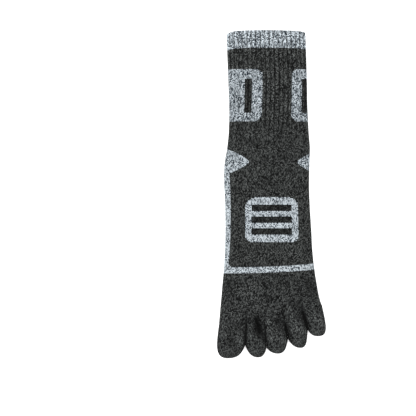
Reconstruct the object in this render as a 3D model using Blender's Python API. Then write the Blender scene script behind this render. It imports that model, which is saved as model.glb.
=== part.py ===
"""A knitted five-toe crew sock that lies flat with its instep up, as twelve knitted pieces.

Frame: X runs across the sock, +Y towards the cuff and +Z up. The origin is on the surface that the sock
lies on, under the middle of its outline. Cuff, leg, heel, instep, sole and foot band are cut from one
tube. The forefoot spreads from that tube to the five toe pockets.
"""
import bpy
import numpy as np

MM = 0.001

# Lengths from the cuff's edge down to the tip of the longest toe
LEG_LENGTH = 142.5 * MM        # cuff edge to the points of the heel gores
FOOT_LENGTH = 112.7 * MM       # gore points to the foot band
BAND_HEIGHT = 6.6 * MM
BAND_RISE = 3.0 * MM           # the band climbs by this much towards the right side fold
FOREFOOT_LENGTH = 56.3 * MM    # foot band to the crotch of the big toe
TOE_LENGTH = 36.2 * MM         # that crotch to the tip of the big toe

# Widths, heights and walls
LEG_WIDTH = 84.6 * MM          # ribbed leg, measured flat
LOFT = 17.0 * MM               # height of the lying foot at the instep
WALL = 2.2 * MM                # thick terry knit
CUFF_HEIGHT = 19.4 * MM
CUFF_WALL = 3.0 * MM           # the cuff is knitted double
GAP = 0.3 * MM                 # between neighbouring pieces
GORE_GAP = 0.45 * MM           # along the gore lines, which cross the tight side folds at a slant

# Ribs of the cuff and the leg
RIB_PITCH = 4.75 * MM
RIB_DEPTH = 0.6 * MM
RIB_FADE = 45.0 * MM           # over this length the ribs die out above the gore points

# Edge of the mouth, seen from above
MOUTH_BOW = 1.0 * MM
MOUTH_CORNERS = (2.6 * MM, 0.8 * MM)   # left and right
CORNER_POWER = 12              # how near to the side folds the corners begin

# Heel gores. Shares of the half round count from the middle of the instep to the middle of the back
GORE_POINT = 0.263             # where a gore line starts
GORE_END = 0.70                # where it has run its full height
GORE_RISE = 22.5 * MM          # heel above the gore points
GORE_DROP = 25.0 * MM          # heel below them
GORE_TIP = 1.0 * MM            # height of the heel where it starts
INSTEP_SHARE = 0.478           # where the instep meets the sole

# Section of the lying tube
SIDE_SHARE = 0.43              # height of the side folds, as a share of the height there
SIDE_FLAT = 1.0 * MM           # upright stretch at each side fold
TOP_POWER = 2.3                # roundness of the upper side, 2 is an ellipse
UNDER_POWER = 2.7              # roundness of the underside's corners
PRESS = 1.15                   # over 1 presses the middle of the underside flat

# Outline of the tube. A station's whole number names the stretch (0 leg, 1 foot, 2 band, 3 forefoot) and
# the rest is the share along it. Left and right edges and the middle of the pattern are shares of
# LEG_WIDTH, heights are shares of LOFT. The pattern's middle counts from the middle between the edges.
OUTLINE_COLUMNS = ("station", "left", "right", "height", "pattern")
OUTLINE = (
    (0.000, -0.572, 0.438, 0.80, 0.118),
    (0.135, -0.565, 0.446, 0.84, 0.119),
    (0.407, -0.548, 0.459, 0.88, 0.118),
    (0.649, -0.538, 0.470, 0.91, 0.097),
    (0.770, -0.543, 0.479, 0.96, 0.086),
    (0.892, -0.564, 0.494, 1.06, 0.076),
    (1.016, -0.597, 0.488, 1.11, 0.072),
    (1.171, -0.602, 0.483, 1.07, 0.084),
    (1.402, -0.590, 0.492, 1.00, 0.080),
    (1.634, -0.585, 0.511, 0.97, 0.072),
    (1.866, -0.593, 0.529, 0.95, 0.064),
    (2.290, -0.604, 0.552, 0.94, 0.054),
    (3.210, -0.623, 0.582, 0.93, 0.054),
    (3.520, -0.640, 0.623, 0.92, 0.054),
    (3.750, -0.654, 0.677, 0.91, 0.054),
    (4.000, -0.668, 0.716, 0.90, 0.054),
)

# Line where the toes start, from the left edge over the four crotches to the right edge. Across is a share
# of LEG_WIDTH, along a share of FOREFOOT_LENGTH below the foot band. From each crotch the toes beside it lie
# against each other as far as the point that is off by lean, a share of LEG_WIDTH, and by run, a share of
# TOE_LENGTH. At the two ends of the line that point is the handle of a curve.
CROTCH_COLUMNS = ("across", "along", "lean", "run")
CROTCHES = (
    (-0.666, 0.980, -0.040, 0.66),
    (-0.313, 0.990, -0.019, 0.63),
    (-0.077, 1.075, 0.019, 0.57),
    (0.175, 0.980, 0.041, 0.46),
    (0.401, 0.735, 0.068, 0.56),
    (0.648, 0.615, 0.064, 0.66),
)
FURROW_HEIGHT = 2.0 * MM       # room that is left inside under the furrow between two toes
FURROW_START = 0.45            # share of the forefoot where the furrows begin
FURROW_POWER = 1.5             # how slowly they deepen at first
TOE_POWER = 2.1                # roundness of a toe's upper side
CROTCH_FADE = 0.35             # share of a toe over which its sides round off below the crotch
TOE_FLAT = 0.40                # share of a toe's outline that lies at full height
TIP_POWER = 2.4                # how bluntly a tip closes
PARTING = 0.5                  # share of a toe's outline at which it parts from its neighbour
SPLAY = (0.17, 0.50)           # handle of the outline there, as shares of the way across and down to the tip

# Toes. The tip lies across at a share of LEG_WIDTH and reaches a share of TOE_LENGTH below the forefoot.
# Height is a share of LOFT. Each side of the outline arrives at the tip level, over a share of its way across.
TOE_COLUMNS = ("name", "across", "reach", "height", "round_left", "round_right")
TOES = (
    ("big_toe", -0.558, 1.000, 0.96, 1.12, 0.70),
    ("second_toe", -0.171, 0.974, 0.90, 0.55, 0.70),
    ("middle_toe", 0.091, 0.861, 0.90, 0.54, 0.74),
    ("fourth_toe", 0.374, 0.692, 0.88, 0.48, 1.00),
    ("little_toe", 0.595, 0.342, 0.84, 0.56, 1.22),
)

# Fineness of the net that the tube's pieces are cut from, and of the pieces themselves
NET_ROWS = 140
NET_COLUMNS = 720
LEG_ROWS = 9
CUFF_ROWS = 3
HEEL_ROWS = 6
INSTEP_ROWS, INSTEP_COLUMNS = 9, 17
SOLE_ROWS = 10
BACK_STEPS = 4                 # columns of heel and sole from the end of a gore to mid back
BAND_ROWS, BAND_COLUMNS = 2, 48
FOREFOOT_ROWS = 9
LOBE_TOP, LOBE_UNDER = 7, 4    # segments of a forefoot lobe above and below
TOE_ROWS, TOE_TOP, TOE_UNDER = 8, 8, 6
TIP_CROWDING = 1.15            # over 1 draws the rows of a toe less towards its tip
SHARP_ANGLE = 50               # degrees between faces from which an edge is shaded as sharp

# Colour, roughness of the two yarns
CHARCOAL = ("charcoal_knit", (0.035, 0.037, 0.037, 1.0), 0.95)
LIGHT_GREY = ("light_grey_marl_knit", (0.36, 0.40, 0.43, 1.0), 0.95)

GORE_ROW = LEG_LENGTH
BAND_ROW = GORE_ROW + FOOT_LENGTH
FOREFOOT_ROW = BAND_ROW + BAND_HEIGHT
CROTCH_ROW = FOREFOOT_ROW + FOREFOOT_LENGTH
TOTAL_LENGTH = CROTCH_ROW + TOE_LENGTH
STRETCH_ROWS = (0.0, GORE_ROW, BAND_ROW, FOREFOOT_ROW, CROTCH_ROW)


def clear_scene():
    """Remove every object of the open scene."""
    for old in list(bpy.data.objects):
        bpy.data.objects.remove(old, do_unlink=True)


def column(table, names, name):
    """One named column of a table as an array."""
    return np.array([line[names.index(name)] for line in table], dtype=float)


def smooth(at, places, values):
    """Cubic through the given values, with the mean slope of the two neighbouring stretches at each."""
    slopes = np.gradient(values, places)
    at = np.clip(at, places[0], places[-1])
    k = np.clip(np.searchsorted(places, at, side="right") - 1, 0, len(places) - 2)
    step = places[k + 1] - places[k]
    t = (at - places[k]) / step
    rise = values[k + 1] - values[k]
    start = step * slopes[k] - rise
    end = rise - step * slopes[k + 1]
    return values[k] + rise * t + t * (1 - t) * (start * (1 - t) + end * t)


def outline(name, row):
    """A column of OUTLINE at a distance below the cuff's edge, in metres."""
    stations = column(OUTLINE, OUTLINE_COLUMNS, "station")
    rows = np.interp(stations, range(len(STRETCH_ROWS)), STRETCH_ROWS)
    size = LOFT if name == "height" else LEG_WIDTH
    return smooth(row, rows, column(OUTLINE, OUTLINE_COLUMNS, name)) * size


def dome(x, power):
    """Height of a rounded arch over x from -1 to 1: the power-th root of 1 less |x| to that power."""
    return np.maximum(0.0, 1 - np.abs(x) ** power) ** (1 / power)


def ease(x):
    """From 0 to 1 with level ends."""
    x = np.clip(x, 0.0, 1.0)
    return x * x * (3 - 2 * x)


def row_to_y(row):
    """Place along Y of a distance below the cuff's edge."""
    return TOTAL_LENGTH / 2 - row


def band_rise(across):
    """How far the foot band has climbed at a place across, from -1 at the left fold to 1 at the right."""
    return BAND_RISE * ((1 + across) / 2) ** 2


def band_line(across):
    """Direction in plan of the band's edges at a share across."""
    half_width = (outline("right", FOREFOOT_ROW) - outline("left", FOREFOOT_ROW)) / 2
    slope = BAND_RISE * (1 + across) / 2 / half_width
    return np.stack([np.ones_like(slope), slope], axis=-1)


def side_heights(height):
    """Top and bottom of the upright stretch at a side fold."""
    return height * SIDE_SHARE + SIDE_FLAT / 2, height * SIDE_SHARE - SIDE_FLAT / 2


def tube_sections(rows, across):
    """Upper and lower height of the plain tube at the given rows and shares across."""
    height = outline("height", rows)
    fold_top, fold_bottom = side_heights(height)
    upper = fold_top + (height - fold_top) * dome(across, TOP_POWER)
    lower = np.maximum(0.0, fold_bottom * (1 - PRESS * dome(across, UNDER_POWER)))
    return upper, lower


def tube_net():
    """The tube from cuff to band as a net of rows and evenly spaced columns, with its outward directions.

    Each section runs from the left fold over the top to the right fold and back below. It is measured
    along its own length and cut open opposite the middle of the pattern, so column shares run from -1
    over 0, the pattern's middle, to 1.
    """
    rows = np.linspace(0, FOREFOOT_ROW, NET_ROWS)
    across = -np.cos(np.linspace(0, np.pi, NET_COLUMNS))
    upper, lower = tube_sections(rows[:, None], across[None, :])
    left = outline("left", rows)[:, None]
    right = outline("right", rows)[:, None]
    x = (left + right) / 2 + (right - left) / 2 * across
    xs = np.hstack([x, x[:, ::-1], x[:, :1]])
    zs = np.hstack([upper, lower[:, ::-1], upper[:, :1]])
    middle = outline("pattern", rows)
    net = np.empty((NET_ROWS, NET_COLUMNS + 1, 3))
    half_rounds = np.empty(NET_ROWS)
    for k in range(NET_ROWS):
        run = np.concatenate([[0], np.cumsum(np.hypot(np.diff(xs[k]), np.diff(zs[k])))])
        start = np.interp((left[k, 0] + right[k, 0]) / 2 + middle[k], x[k], run[:NET_COLUMNS])
        places = (start + np.linspace(-0.5, 0.5, NET_COLUMNS + 1) * run[-1]) % run[-1]
        net[k, :, 0] = np.interp(places, run, xs[k])
        net[k, :, 2] = np.interp(places, run, zs[k])
        half_rounds[k] = run[-1] / 2
    net[:, :, 1] = row_to_y(rows)[:, None]
    return {"rows": rows, "points": net, "outward": outward(net, True), "half_rounds": half_rounds}


def outward(points, is_round):
    """Unit vectors square to a net of points, from the steps along its columns and its rows."""
    if is_round:
        ring = np.hstack([points[:, -2:-1], points, points[:, 1:2]])
        along = (ring[:, 2:] - ring[:, :-2])
    else:
        along = np.gradient(points, axis=1)
    down = np.gradient(points, axis=0)
    square = np.cross(along, down)
    return -square / np.maximum(np.linalg.norm(square, axis=2, keepdims=True), 1e-12)


def upright_rim(out, line):
    """Outward directions at a free edge, turned into the upright plane over the edge's line in plan."""
    across = line / np.linalg.norm(line, axis=-1, keepdims=True)
    level = (out[..., :2] * across).sum(axis=-1, keepdims=True) * across
    turned = np.concatenate([level, out[..., 2:]], axis=-1)
    return turned / np.linalg.norm(turned, axis=-1, keepdims=True)


def on_net(net, rows, shares):
    """Points and outward directions of the tube at the given rows and column shares, between net points."""
    rows, shares = np.broadcast_arrays(rows, shares)
    down = np.interp(rows, net["rows"], np.arange(NET_ROWS))
    round_ = ((shares + 1) / 2 % 1.0) * NET_COLUMNS
    i = np.minimum(down.astype(int), NET_ROWS - 2)
    j = np.minimum(round_.astype(int), NET_COLUMNS - 1)
    a = (down - i)[..., None]
    b = (round_ - j)[..., None]

    def between(values):
        upper = values[i, j] * (1 - b) + values[i, j + 1] * b
        lower = values[i + 1, j] * (1 - b) + values[i + 1, j + 1] * b
        return upper * (1 - a) + lower * a

    out = between(net["outward"])
    return between(net["points"]), out / np.linalg.norm(out, axis=-1, keepdims=True)


def across_share(net, row, shares):
    """Place across the tube, from -1 at the left fold to 1 at the right, of column shares at a row."""
    points, _ = on_net(net, row, shares)
    left, right = outline("left", row), outline("right", row)
    return np.clip((points[..., 0] - (left + right) / 2) / ((right - left) / 2), -1, 1)


def half_round(net, row):
    """Half the length round the tube at a row."""
    return np.interp(row, net["rows"], net["half_rounds"])


def gore_ramp(share):
    """How far a gore line has run at a column share: 0 over the instep, 1 over the back."""
    away = np.minimum(np.abs(share), 2 - np.abs(share))
    return np.clip((away - GORE_POINT) / (GORE_END - GORE_POINT), 0.0, 1.0)


def slant_gap(net, height):
    """Half the gap measured down the sock, on a gore line that runs over the given height."""
    run = (GORE_END - GORE_POINT) * half_round(net, GORE_ROW)
    return GORE_GAP / 2 * np.hypot(1.0, height / run)


def wales(ribs):
    """Column shares from mid instep to mid back, two for each rib, the nearest moved onto each corner."""
    shares = np.linspace(0, 1, ribs + 1)
    for corner in (GORE_POINT, INSTEP_SHARE, GORE_END):
        shares[np.argmin(np.abs(shares - corner))] = corner
    return shares


def back_shares(start, ribs):
    """Column shares from start round the back to its mirror image, on the leg's columns as far as GORE_END."""
    shares = wales(ribs)
    step = shares[1] - shares[0]
    fold = shares[(shares > start + step / 3) & (shares < GORE_END)]
    half = np.concatenate([[start], fold, np.linspace(GORE_END, 1, BACK_STEPS + 1)])
    return np.concatenate([half, 2 - half[-2::-1]])


def rib_relief(shares, rows, ribs):
    """Depth of the grooves between ribs: deepest half-way between two ribs, and fading out near the heel."""
    groove = (1 - np.cos(np.pi * ribs * shares)) / 2
    fade = ease((GORE_ROW - rows) / RIB_FADE)
    return RIB_DEPTH * groove * fade


def make_material(spec):
    """A matt Principled material for one yarn."""
    name, colour, roughness = spec
    material = bpy.data.materials.get(name)
    if material:
        return material
    material = bpy.data.materials.new(name)
    material.use_nodes = True
    shader = material.node_tree.nodes["Principled BSDF"]
    shader.inputs["Base Color"].default_value = colour
    shader.inputs["Roughness"].default_value = roughness
    shader.inputs["Metallic"].default_value = 0.0
    material.diffuse_color = colour
    return material


def strips(first, second, closed):
    """Quads between two equally long lines of point numbers."""
    ends = np.roll(first, -1), np.roll(second, -1)
    quads = np.stack([first, second, ends[1], ends[0]], axis=1)
    return quads if closed else quads[:-1]


def loft_wall(name, outer, inner, yarn, is_round=False, tip=None):
    """A knitted wall lofted between an outer and an inner net, closed along its free edges.

    Neighbouring pieces share one surface and one set of outward directions, so their edges stay parallel
    round the folds. A round net has its first column after its last. A tip gives the two points, outer
    and inner, that close the last row.
    """
    rows, columns = outer.shape[:2]
    size = rows * columns
    numbers = np.arange(size).reshape(rows, columns)
    points = np.vstack([outer.reshape(-1, 3), inner.reshape(-1, 3)])
    faces = []
    for k in range(rows - 1):
        faces.extend(strips(numbers[k], numbers[k + 1], is_round).tolist())
        faces.extend(strips(numbers[k + 1] + size, numbers[k] + size, is_round).tolist())
    faces.extend(strips(numbers[0] + size, numbers[0], is_round).tolist())
    if tip is None:
        faces.extend(strips(numbers[-1], numbers[-1] + size, is_round).tolist())
    else:
        for row, end, turn in ((numbers[-1], 2 * size, 1), (numbers[-1] + size, 2 * size + 1, -1)):
            fan = np.stack([row, np.full(columns, end), np.roll(row, -1)], axis=1)
            faces.extend(fan[:, ::turn].tolist())
        points = np.vstack([points, tip])
    if not is_round:
        faces.extend(strips(numbers[:, 0], numbers[:, 0] + size, False).tolist())
        faces.extend(strips(numbers[:, -1] + size, numbers[:, -1], False).tolist())
    mesh = bpy.data.meshes.new(name)
    mesh.from_pydata(points.tolist(), [], faces)
    mesh.update()
    mesh.shade_smooth()
    mesh.set_sharp_from_angle(angle=np.radians(SHARP_ANGLE))
    mesh.materials.append(make_material(yarn))
    piece = bpy.data.objects.new(name, mesh)
    collection().objects.link(piece)
    return piece


def collection():
    """The collection that holds the sock."""
    name = "toe_sock"
    found = bpy.data.collections.get(name)
    if found is None:
        found = bpy.data.collections.new(name)
        bpy.context.scene.collection.children.link(found)
    return found


def cut_piece(net, name, rows, shares, yarn, wall=WALL, relief=0.0, is_round=False, undercut=0.0):
    """A piece of the tube over a grid of rows and column shares, with grooves of the given relief.

    Undercut moves the inner rows, so that slanted rims lean away from their neighbours' inside.
    """
    points, out = on_net(net, rows, shares)
    inner, inner_out = on_net(net, rows + undercut, shares)
    relief = np.asarray(relief)[..., None] if np.ndim(relief) else relief
    return loft_wall(name, points - out * relief, inner - inner_out * wall, yarn, is_round)


def cuff(net, ribs):
    """Ribbed double welt. Its free edge bows back a little towards the side folds."""
    shares = np.linspace(-1, 1, 2 * ribs, endpoint=False)[None, :]
    across = across_share(net, 0.0, shares)
    corner = np.where(across < 0, *MOUTH_CORNERS)
    mouth = MOUTH_BOW * across ** 2 + corner * across ** CORNER_POWER
    t = np.linspace(0, 1, CUFF_ROWS)[:, None]
    rows = mouth + (CUFF_HEIGHT - GAP / 2 - mouth) * t
    cut_piece(net, "cuff", rows, shares, LIGHT_GREY, CUFF_WALL, rib_relief(shares, rows, ribs), True)


def leg(net, ribs):
    """Ribbed tube from the cuff to the upper gore lines."""
    half = wales(ribs)
    shares = np.concatenate([-half[:0:-1], half[:-1]])[None, :]
    top = CUFF_HEIGHT + GAP / 2
    bottom = GORE_ROW - GORE_RISE * gore_ramp(shares) - slant_gap(net, GORE_RISE)
    rows = top + (bottom - top) * np.linspace(0, 1, LEG_ROWS)[:, None]
    relief = rib_relief(shares, rows, ribs)
    cut_piece(net, "leg", rows, shares, CHARCOAL, WALL + RIB_DEPTH, relief, True)


def heel(net, ribs):
    """Pouch between the upper and lower gore lines, from one point round the back to the other."""
    lift, sink = slant_gap(net, GORE_RISE), slant_gap(net, GORE_DROP)
    slope = (GORE_RISE + GORE_DROP) / (GORE_END - GORE_POINT)
    start = GORE_POINT + (GORE_TIP + lift + sink) / slope
    shares = back_shares(start, ribs)[None, :]
    top = GORE_ROW - GORE_RISE * gore_ramp(shares) + lift
    bottom = GORE_ROW + GORE_DROP * gore_ramp(shares) - sink
    t = np.linspace(0, 1, HEEL_ROWS)[:, None]
    rows = top + (bottom - top) * t
    cut_piece(net, "heel", rows, shares, LIGHT_GREY, undercut=GORE_GAP * (1 - 2 * t))


def instep(net, ribs):
    """Upper of the foot. It widens along the lower gore lines and then keeps its share of the round."""
    shares = wales(ribs)
    edge = shares[(shares >= GORE_POINT) & (shares <= INSTEP_SHARE)]
    widening = GORE_ROW + GORE_DROP * gore_ramp(edge)
    straight = np.linspace(widening[-1], BAND_ROW, INSTEP_ROWS)[1:]
    slant = slant_gap(net, GORE_DROP) * (GORE_END - GORE_POINT) / GORE_DROP
    edge = np.append(edge - slant, np.full(len(straight), INSTEP_SHARE) - GAP / 2 / half_round(net, BAND_ROW))
    rows = np.append(widening, straight)
    rows[0] += GAP / 2
    spread = np.sin(np.linspace(-np.pi / 2, np.pi / 2, INSTEP_COLUMNS))
    shares = edge[:, None] * spread[None, :]
    lift = (band_rise(across_share(net, BAND_ROW, shares[-1])) + GAP / 2)[None, :]
    settled = np.clip((rows - widening[-1]) / (BAND_ROW - widening[-1]), 0, 1)[:, None]
    cut_piece(net, "instep", rows[:, None] - lift * settled, shares, CHARCOAL)


def sole(net, ribs):
    """Underside of the foot, from the lower gore lines to the band."""
    edge = INSTEP_SHARE + GAP / 2 / half_round(net, BAND_ROW)
    shares = back_shares(edge, ribs)[None, :]
    top = GORE_ROW + GORE_DROP * gore_ramp(shares) + slant_gap(net, GORE_DROP)
    bottom = BAND_ROW - GAP / 2 - band_rise(across_share(net, BAND_ROW, shares))
    rows = top + (bottom - top) * np.linspace(0, 1, SOLE_ROWS)[:, None]
    cut_piece(net, "sole", rows, shares, LIGHT_GREY)


def foot_band(net):
    """Light stripe that runs round the foot."""
    shares = np.linspace(-1, 1, BAND_COLUMNS, endpoint=False)[None, :]
    across = across_share(net, FOREFOOT_ROW, shares)
    rows = np.linspace(BAND_ROW + GAP / 2, FOREFOOT_ROW - GAP / 2, BAND_ROWS)[:, None] - band_rise(across)
    points, out = on_net(net, rows, shares)
    out[-1] = upright_rim(out[-1], band_line(across[0]))
    loft_wall("foot_band", points, points - out * WALL, LIGHT_GREY, True)


def crotch_points():
    """Plan of the line where the toes start, as points in X and Y."""
    across = column(CROTCHES, CROTCH_COLUMNS, "across") * LEG_WIDTH
    rows = FOREFOOT_ROW + column(CROTCHES, CROTCH_COLUMNS, "along") * FOREFOOT_LENGTH
    return np.stack([across, row_to_y(rows)], axis=1)


def furrow_sides():
    """Top and bottom of a toe's side wall where it leaves the crotch."""
    return 2 * WALL + FURROW_HEIGHT, 0.0


def toe_sides(index, t):
    """Side wall heights of a toe, left and right, at share t of its outline: ((top, bottom), (top, bottom)).

    An outer side is a fold like the tube's. A side at a crotch is an upright wall that turns into one.
    """
    height = TOES[index][TOE_COLUMNS.index("height")] * LOFT
    folded = side_heights(height)
    upright = furrow_sides()
    mix = ease(t / CROTCH_FADE)
    inner = tuple(a + (b - a) * mix for a, b in zip(upright, folded))
    outer = tuple(np.full(np.shape(mix), a) for a in folded)
    left = outer if index == 0 else inner
    right = outer if index == len(TOES) - 1 else inner
    return left, right


def toe_section(index, x, t):
    """Upper and lower height of a toe at x from -1 to 1 across it and share t of its outline."""
    height = TOES[index][TOE_COLUMNS.index("height")] * LOFT
    (left_top, left_bottom), (right_top, right_bottom) = toe_sides(index, t)
    fold_top = np.where(x < 0, left_top, right_top)
    fold_bottom = np.where(x < 0, left_bottom, right_bottom)
    upper = fold_top + (height - fold_top) * dome(x, TOE_POWER)
    lower = np.maximum(0.0, fold_bottom * (1 - PRESS * dome(x, UNDER_POWER)))
    return upper, lower


def forefoot_plan(lobe, v):
    """Plan of the forefoot at lobe coordinate 0 to 5 across it and share v from band to toes.

    A Coons patch: the sum of the two straight blends between opposite edges, less the blend of corners.
    """
    corners = crotch_points()
    far = np.stack([np.interp(lobe, np.arange(len(corners)), corners[:, k]) for k in (0, 1)], axis=-1)
    share = (far[..., 0] - corners[0, 0]) / (corners[-1, 0] - corners[0, 0])
    start = FOREFOOT_ROW - band_rise(2 * share - 1)
    left, right = outline("left", start), outline("right", start)
    near = np.stack([left + (right - left) * share, row_to_y(start)], axis=-1)
    bulge = 0.0
    for side, first, last, part in (("left", FOREFOOT_ROW, corners[0], 1 - share),
                                    ("right", FOREFOOT_ROW - BAND_RISE, corners[-1], share)):
        begin = np.array([outline(side, first), row_to_y(first)])
        rows = first + (row_to_y(first) - last[1]) * v
        line = np.stack([outline(side, rows), row_to_y(rows)], axis=-1)
        straight = begin * (1 - v[..., None]) + last * v[..., None]
        bulge = bulge + (line - straight) * part[..., None]
    return near * (1 - v[..., None]) + far * v[..., None] + bulge, share


def forefoot_surface(lobe, v, is_upper):
    """Points of the forefoot. Its arch turns into one lobe for each toe, with furrows in between."""
    lobe, v = np.broadcast_arrays(lobe, v)
    plan, share = forefoot_plan(lobe, v)
    rows = FOREFOOT_ROW + FOREFOOT_LENGTH * v - band_rise(2 * share - 1) * (1 - v)
    index = np.clip(lobe.astype(int), 0, len(TOES) - 1)
    x = np.clip(2 * (lobe - index) - 1, -1, 1)
    lobed = np.zeros(lobe.shape)
    for k in range(len(TOES)):
        section = toe_section(k, x, 0.0)[0 if is_upper else 1]
        lobed = np.where(index == k, section, lobed)
    plain = tube_sections(rows, 2 * share - 1)[0 if is_upper else 1]
    mix = ease((v - FURROW_START) / (1 - FURROW_START)) ** FURROW_POWER
    mix = np.where((lobe <= 0) | (lobe >= len(TOES)), ease(v), mix)
    height = plain + (lobed - plain) * mix
    return np.concatenate([plan, height[..., None]], axis=-1)


def lobe_columns(segments):
    """Lobe coordinates from 0 to 5 that crowd towards the crotches."""
    inside = (1 - np.cos(np.linspace(0, np.pi, segments + 1)[:-1])) / 2
    return np.append((np.arange(len(TOES))[:, None] + inside).ravel(), len(TOES))


def forefoot():
    """Charcoal tube from the band to the toes."""
    v = np.linspace(GAP / 2 / FOREFOOT_LENGTH, 1, FOREFOOT_ROWS)[:, None]
    top, under = lobe_columns(LOBE_TOP), lobe_columns(LOBE_UNDER)[::-1]
    upper = forefoot_surface(top[None, :], v, True)
    lower = forefoot_surface(under[None, :], v, False)
    outer = np.hstack([upper, lower])
    ring = np.hstack([outer, outer[:, :1]])
    out = outward(ring, True)[:, :-1]
    chords = np.diff(crotch_points(), axis=0)
    lobes = np.append(top, under)
    before = np.clip(np.ceil(lobes).astype(int) - 1, 0, len(TOES) - 1)
    after = np.clip(np.floor(lobes).astype(int), 0, len(TOES) - 1)
    out[-1] = upright_rim(out[-1], chords[before] + chords[after])
    _, share = forefoot_plan(lobes, 0 * lobes)
    out[0] = upright_rim(out[0], band_line(2 * share - 1))
    loft_wall("forefoot", outer, outer - out * WALL, CHARCOAL, True)


def bezier(start, first, second, end, t):
    """Cubic curve in plan from start to end with the two handles between them."""
    t = np.asarray(t)[..., None]
    return ((1 - t) ** 3 * start + 3 * (1 - t) ** 2 * t * first
            + 3 * (1 - t) * t ** 2 * second + t ** 3 * end)


def toe_side(start, crease, tip, rounding, is_free, t):
    """Plan of one side of a toe at shares t of its outline, from the crotch line to the tip."""
    parted = start + crease
    level = tip + np.array([rounding * (parted[0] - tip[0]), 0.0])
    if is_free:
        return bezier(start, parted, level, tip, t)
    straight = start + crease * (t / PARTING)[:, None]
    rest = np.maximum(t - PARTING, 0) / (1 - PARTING)
    curved = bezier(parted, parted + (tip - parted) * SPLAY, level, tip, rest)
    return np.where((t < PARTING)[:, None], straight, curved)


def toe_outline(index, t):
    """Left and right edge of a toe in plan, and its tip."""
    toe = dict(zip(TOE_COLUMNS, TOES[index]))
    corners = crotch_points()
    lean = column(CROTCHES, CROTCH_COLUMNS, "lean") * LEG_WIDTH
    run = column(CROTCHES, CROTCH_COLUMNS, "run") * TOE_LENGTH
    creases = np.stack([lean, -run], axis=1)
    left, right = corners[index], corners[index + 1]
    across = (right - left) / np.linalg.norm(right - left)
    clear = np.array([across[1], -across[0]]) * GAP
    tip = np.array([toe["across"] * LEG_WIDTH, row_to_y(CROTCH_ROW + toe["reach"] * TOE_LENGTH)])
    is_first, is_last = index == 0, index == len(TOES) - 1
    left = left + clear + across * GAP / 2 * (not is_first)
    right = right + clear - across * GAP / 2 * (not is_last)
    left_edge = toe_side(left, creases[index], tip, toe["round_left"], is_first, t)
    right_edge = toe_side(right, creases[index + 1], tip, toe["round_right"], is_last, t)
    return left_edge, right_edge, tip


def toe_net(index, t, top, under):
    """Outer net of a toe pocket without its tip: a row of points round the toe at each share t.

    Top and under are the columns, from -1 to 1 across the toe, of its upper and of its lower side. The
    section closes down to the tip's height over the last part of the outline.
    """
    left, right, tip = toe_outline(index, t)
    middle = (left + right) / 2
    reach = (right - left) / 2
    height = TOES[index][TOE_COLUMNS.index("height")] * LOFT
    tip_height = height * SIDE_SHARE
    swell = 1 - np.clip((t - TOE_FLAT) / (1 - TOE_FLAT), 0, 1) ** TIP_POWER
    parts = []
    for is_upper, x in ((True, top), (False, under[::-1])):
        section = toe_section(index, x[None, :], t[:, None])[0 if is_upper else 1]
        z = tip_height + (section - tip_height) * swell[:, None]
        plan = middle[:, None, :] + reach[:, None, :] * x[None, :, None]
        parts.append(np.concatenate([plan, z[..., None]], axis=-1))
    return np.hstack(parts), np.append(tip, tip_height)


def toe_pocket(index):
    """One closed toe pocket, open to the forefoot."""
    t = np.sin(np.linspace(0, np.pi / 2, TOE_ROWS + 1))[:-1] ** TIP_CROWDING
    t[np.argmin(np.abs(t - PARTING))] = PARTING
    top = -np.cos(np.linspace(0, np.pi, TOE_TOP + 1))
    under = -np.cos(np.linspace(0, np.pi, TOE_UNDER + 1))
    outer, tip = toe_net(index, t, top, under)
    end = np.repeat(tip[None, None, :], outer.shape[1], axis=1)
    closed = np.vstack([outer, end])
    ring = np.hstack([closed, closed[:, :1]])
    out = outward(ring, True)[:-1, :-1]
    out[0] = upright_rim(out[0], np.diff(crotch_points(), axis=0)[index])
    inner = outer - out * WALL
    heading = tip - outer[-1].mean(axis=0)
    inner_tip = tip - heading / np.linalg.norm(heading) * WALL
    loft_wall(TOES[index][0], outer, inner, CHARCOAL, True, np.stack([tip, inner_tip]))


def main():
    clear_scene()
    net = tube_net()
    ribs = int(round(2 * half_round(net, CUFF_HEIGHT) / RIB_PITCH))
    cuff(net, ribs)
    leg(net, ribs)
    heel(net, ribs)
    instep(net, ribs)
    sole(net, ribs)
    foot_band(net)
    forefoot()
    for index in range(len(TOES)):
        toe_pocket(index)


main()
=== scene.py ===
"""Looks of a knitted five-toe crew sock that lies flat with its instep up.

Every piece is a surface of two parameters, a place down the sock and a place round it. It is worked out as
whole arrays from the sock's sizes, and stands for the CAD solid of the same name. A UV map in millimetres
runs along the knit: U counts wales round the sock and V courses down it, so stitches, marl and colour
pattern all follow the fabric.
"""

import bmesh
import bpy
import numpy as np
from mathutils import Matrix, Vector


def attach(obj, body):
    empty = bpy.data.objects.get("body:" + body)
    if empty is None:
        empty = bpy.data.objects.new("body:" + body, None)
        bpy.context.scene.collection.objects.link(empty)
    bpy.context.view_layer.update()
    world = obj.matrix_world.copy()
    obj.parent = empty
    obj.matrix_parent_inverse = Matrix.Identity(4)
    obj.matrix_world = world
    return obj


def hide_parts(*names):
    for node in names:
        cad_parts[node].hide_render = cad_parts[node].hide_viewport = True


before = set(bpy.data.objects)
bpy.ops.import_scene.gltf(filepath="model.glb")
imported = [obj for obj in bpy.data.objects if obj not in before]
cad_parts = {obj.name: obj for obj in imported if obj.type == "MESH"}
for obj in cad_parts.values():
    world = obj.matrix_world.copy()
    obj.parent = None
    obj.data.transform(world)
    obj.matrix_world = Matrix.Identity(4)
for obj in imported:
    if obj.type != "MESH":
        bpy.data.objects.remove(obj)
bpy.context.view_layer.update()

bl_info = {
    "name": "Toe sock",
    "version": (1, 0, 0),
    "blender": (4, 5, 0),
    "location": "3D View > Sidebar > Toe sock",
    "description": "Builds a knitted five-toe crew sock piece by piece",
    "category": "Object",
}

MM = 0.001


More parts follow.
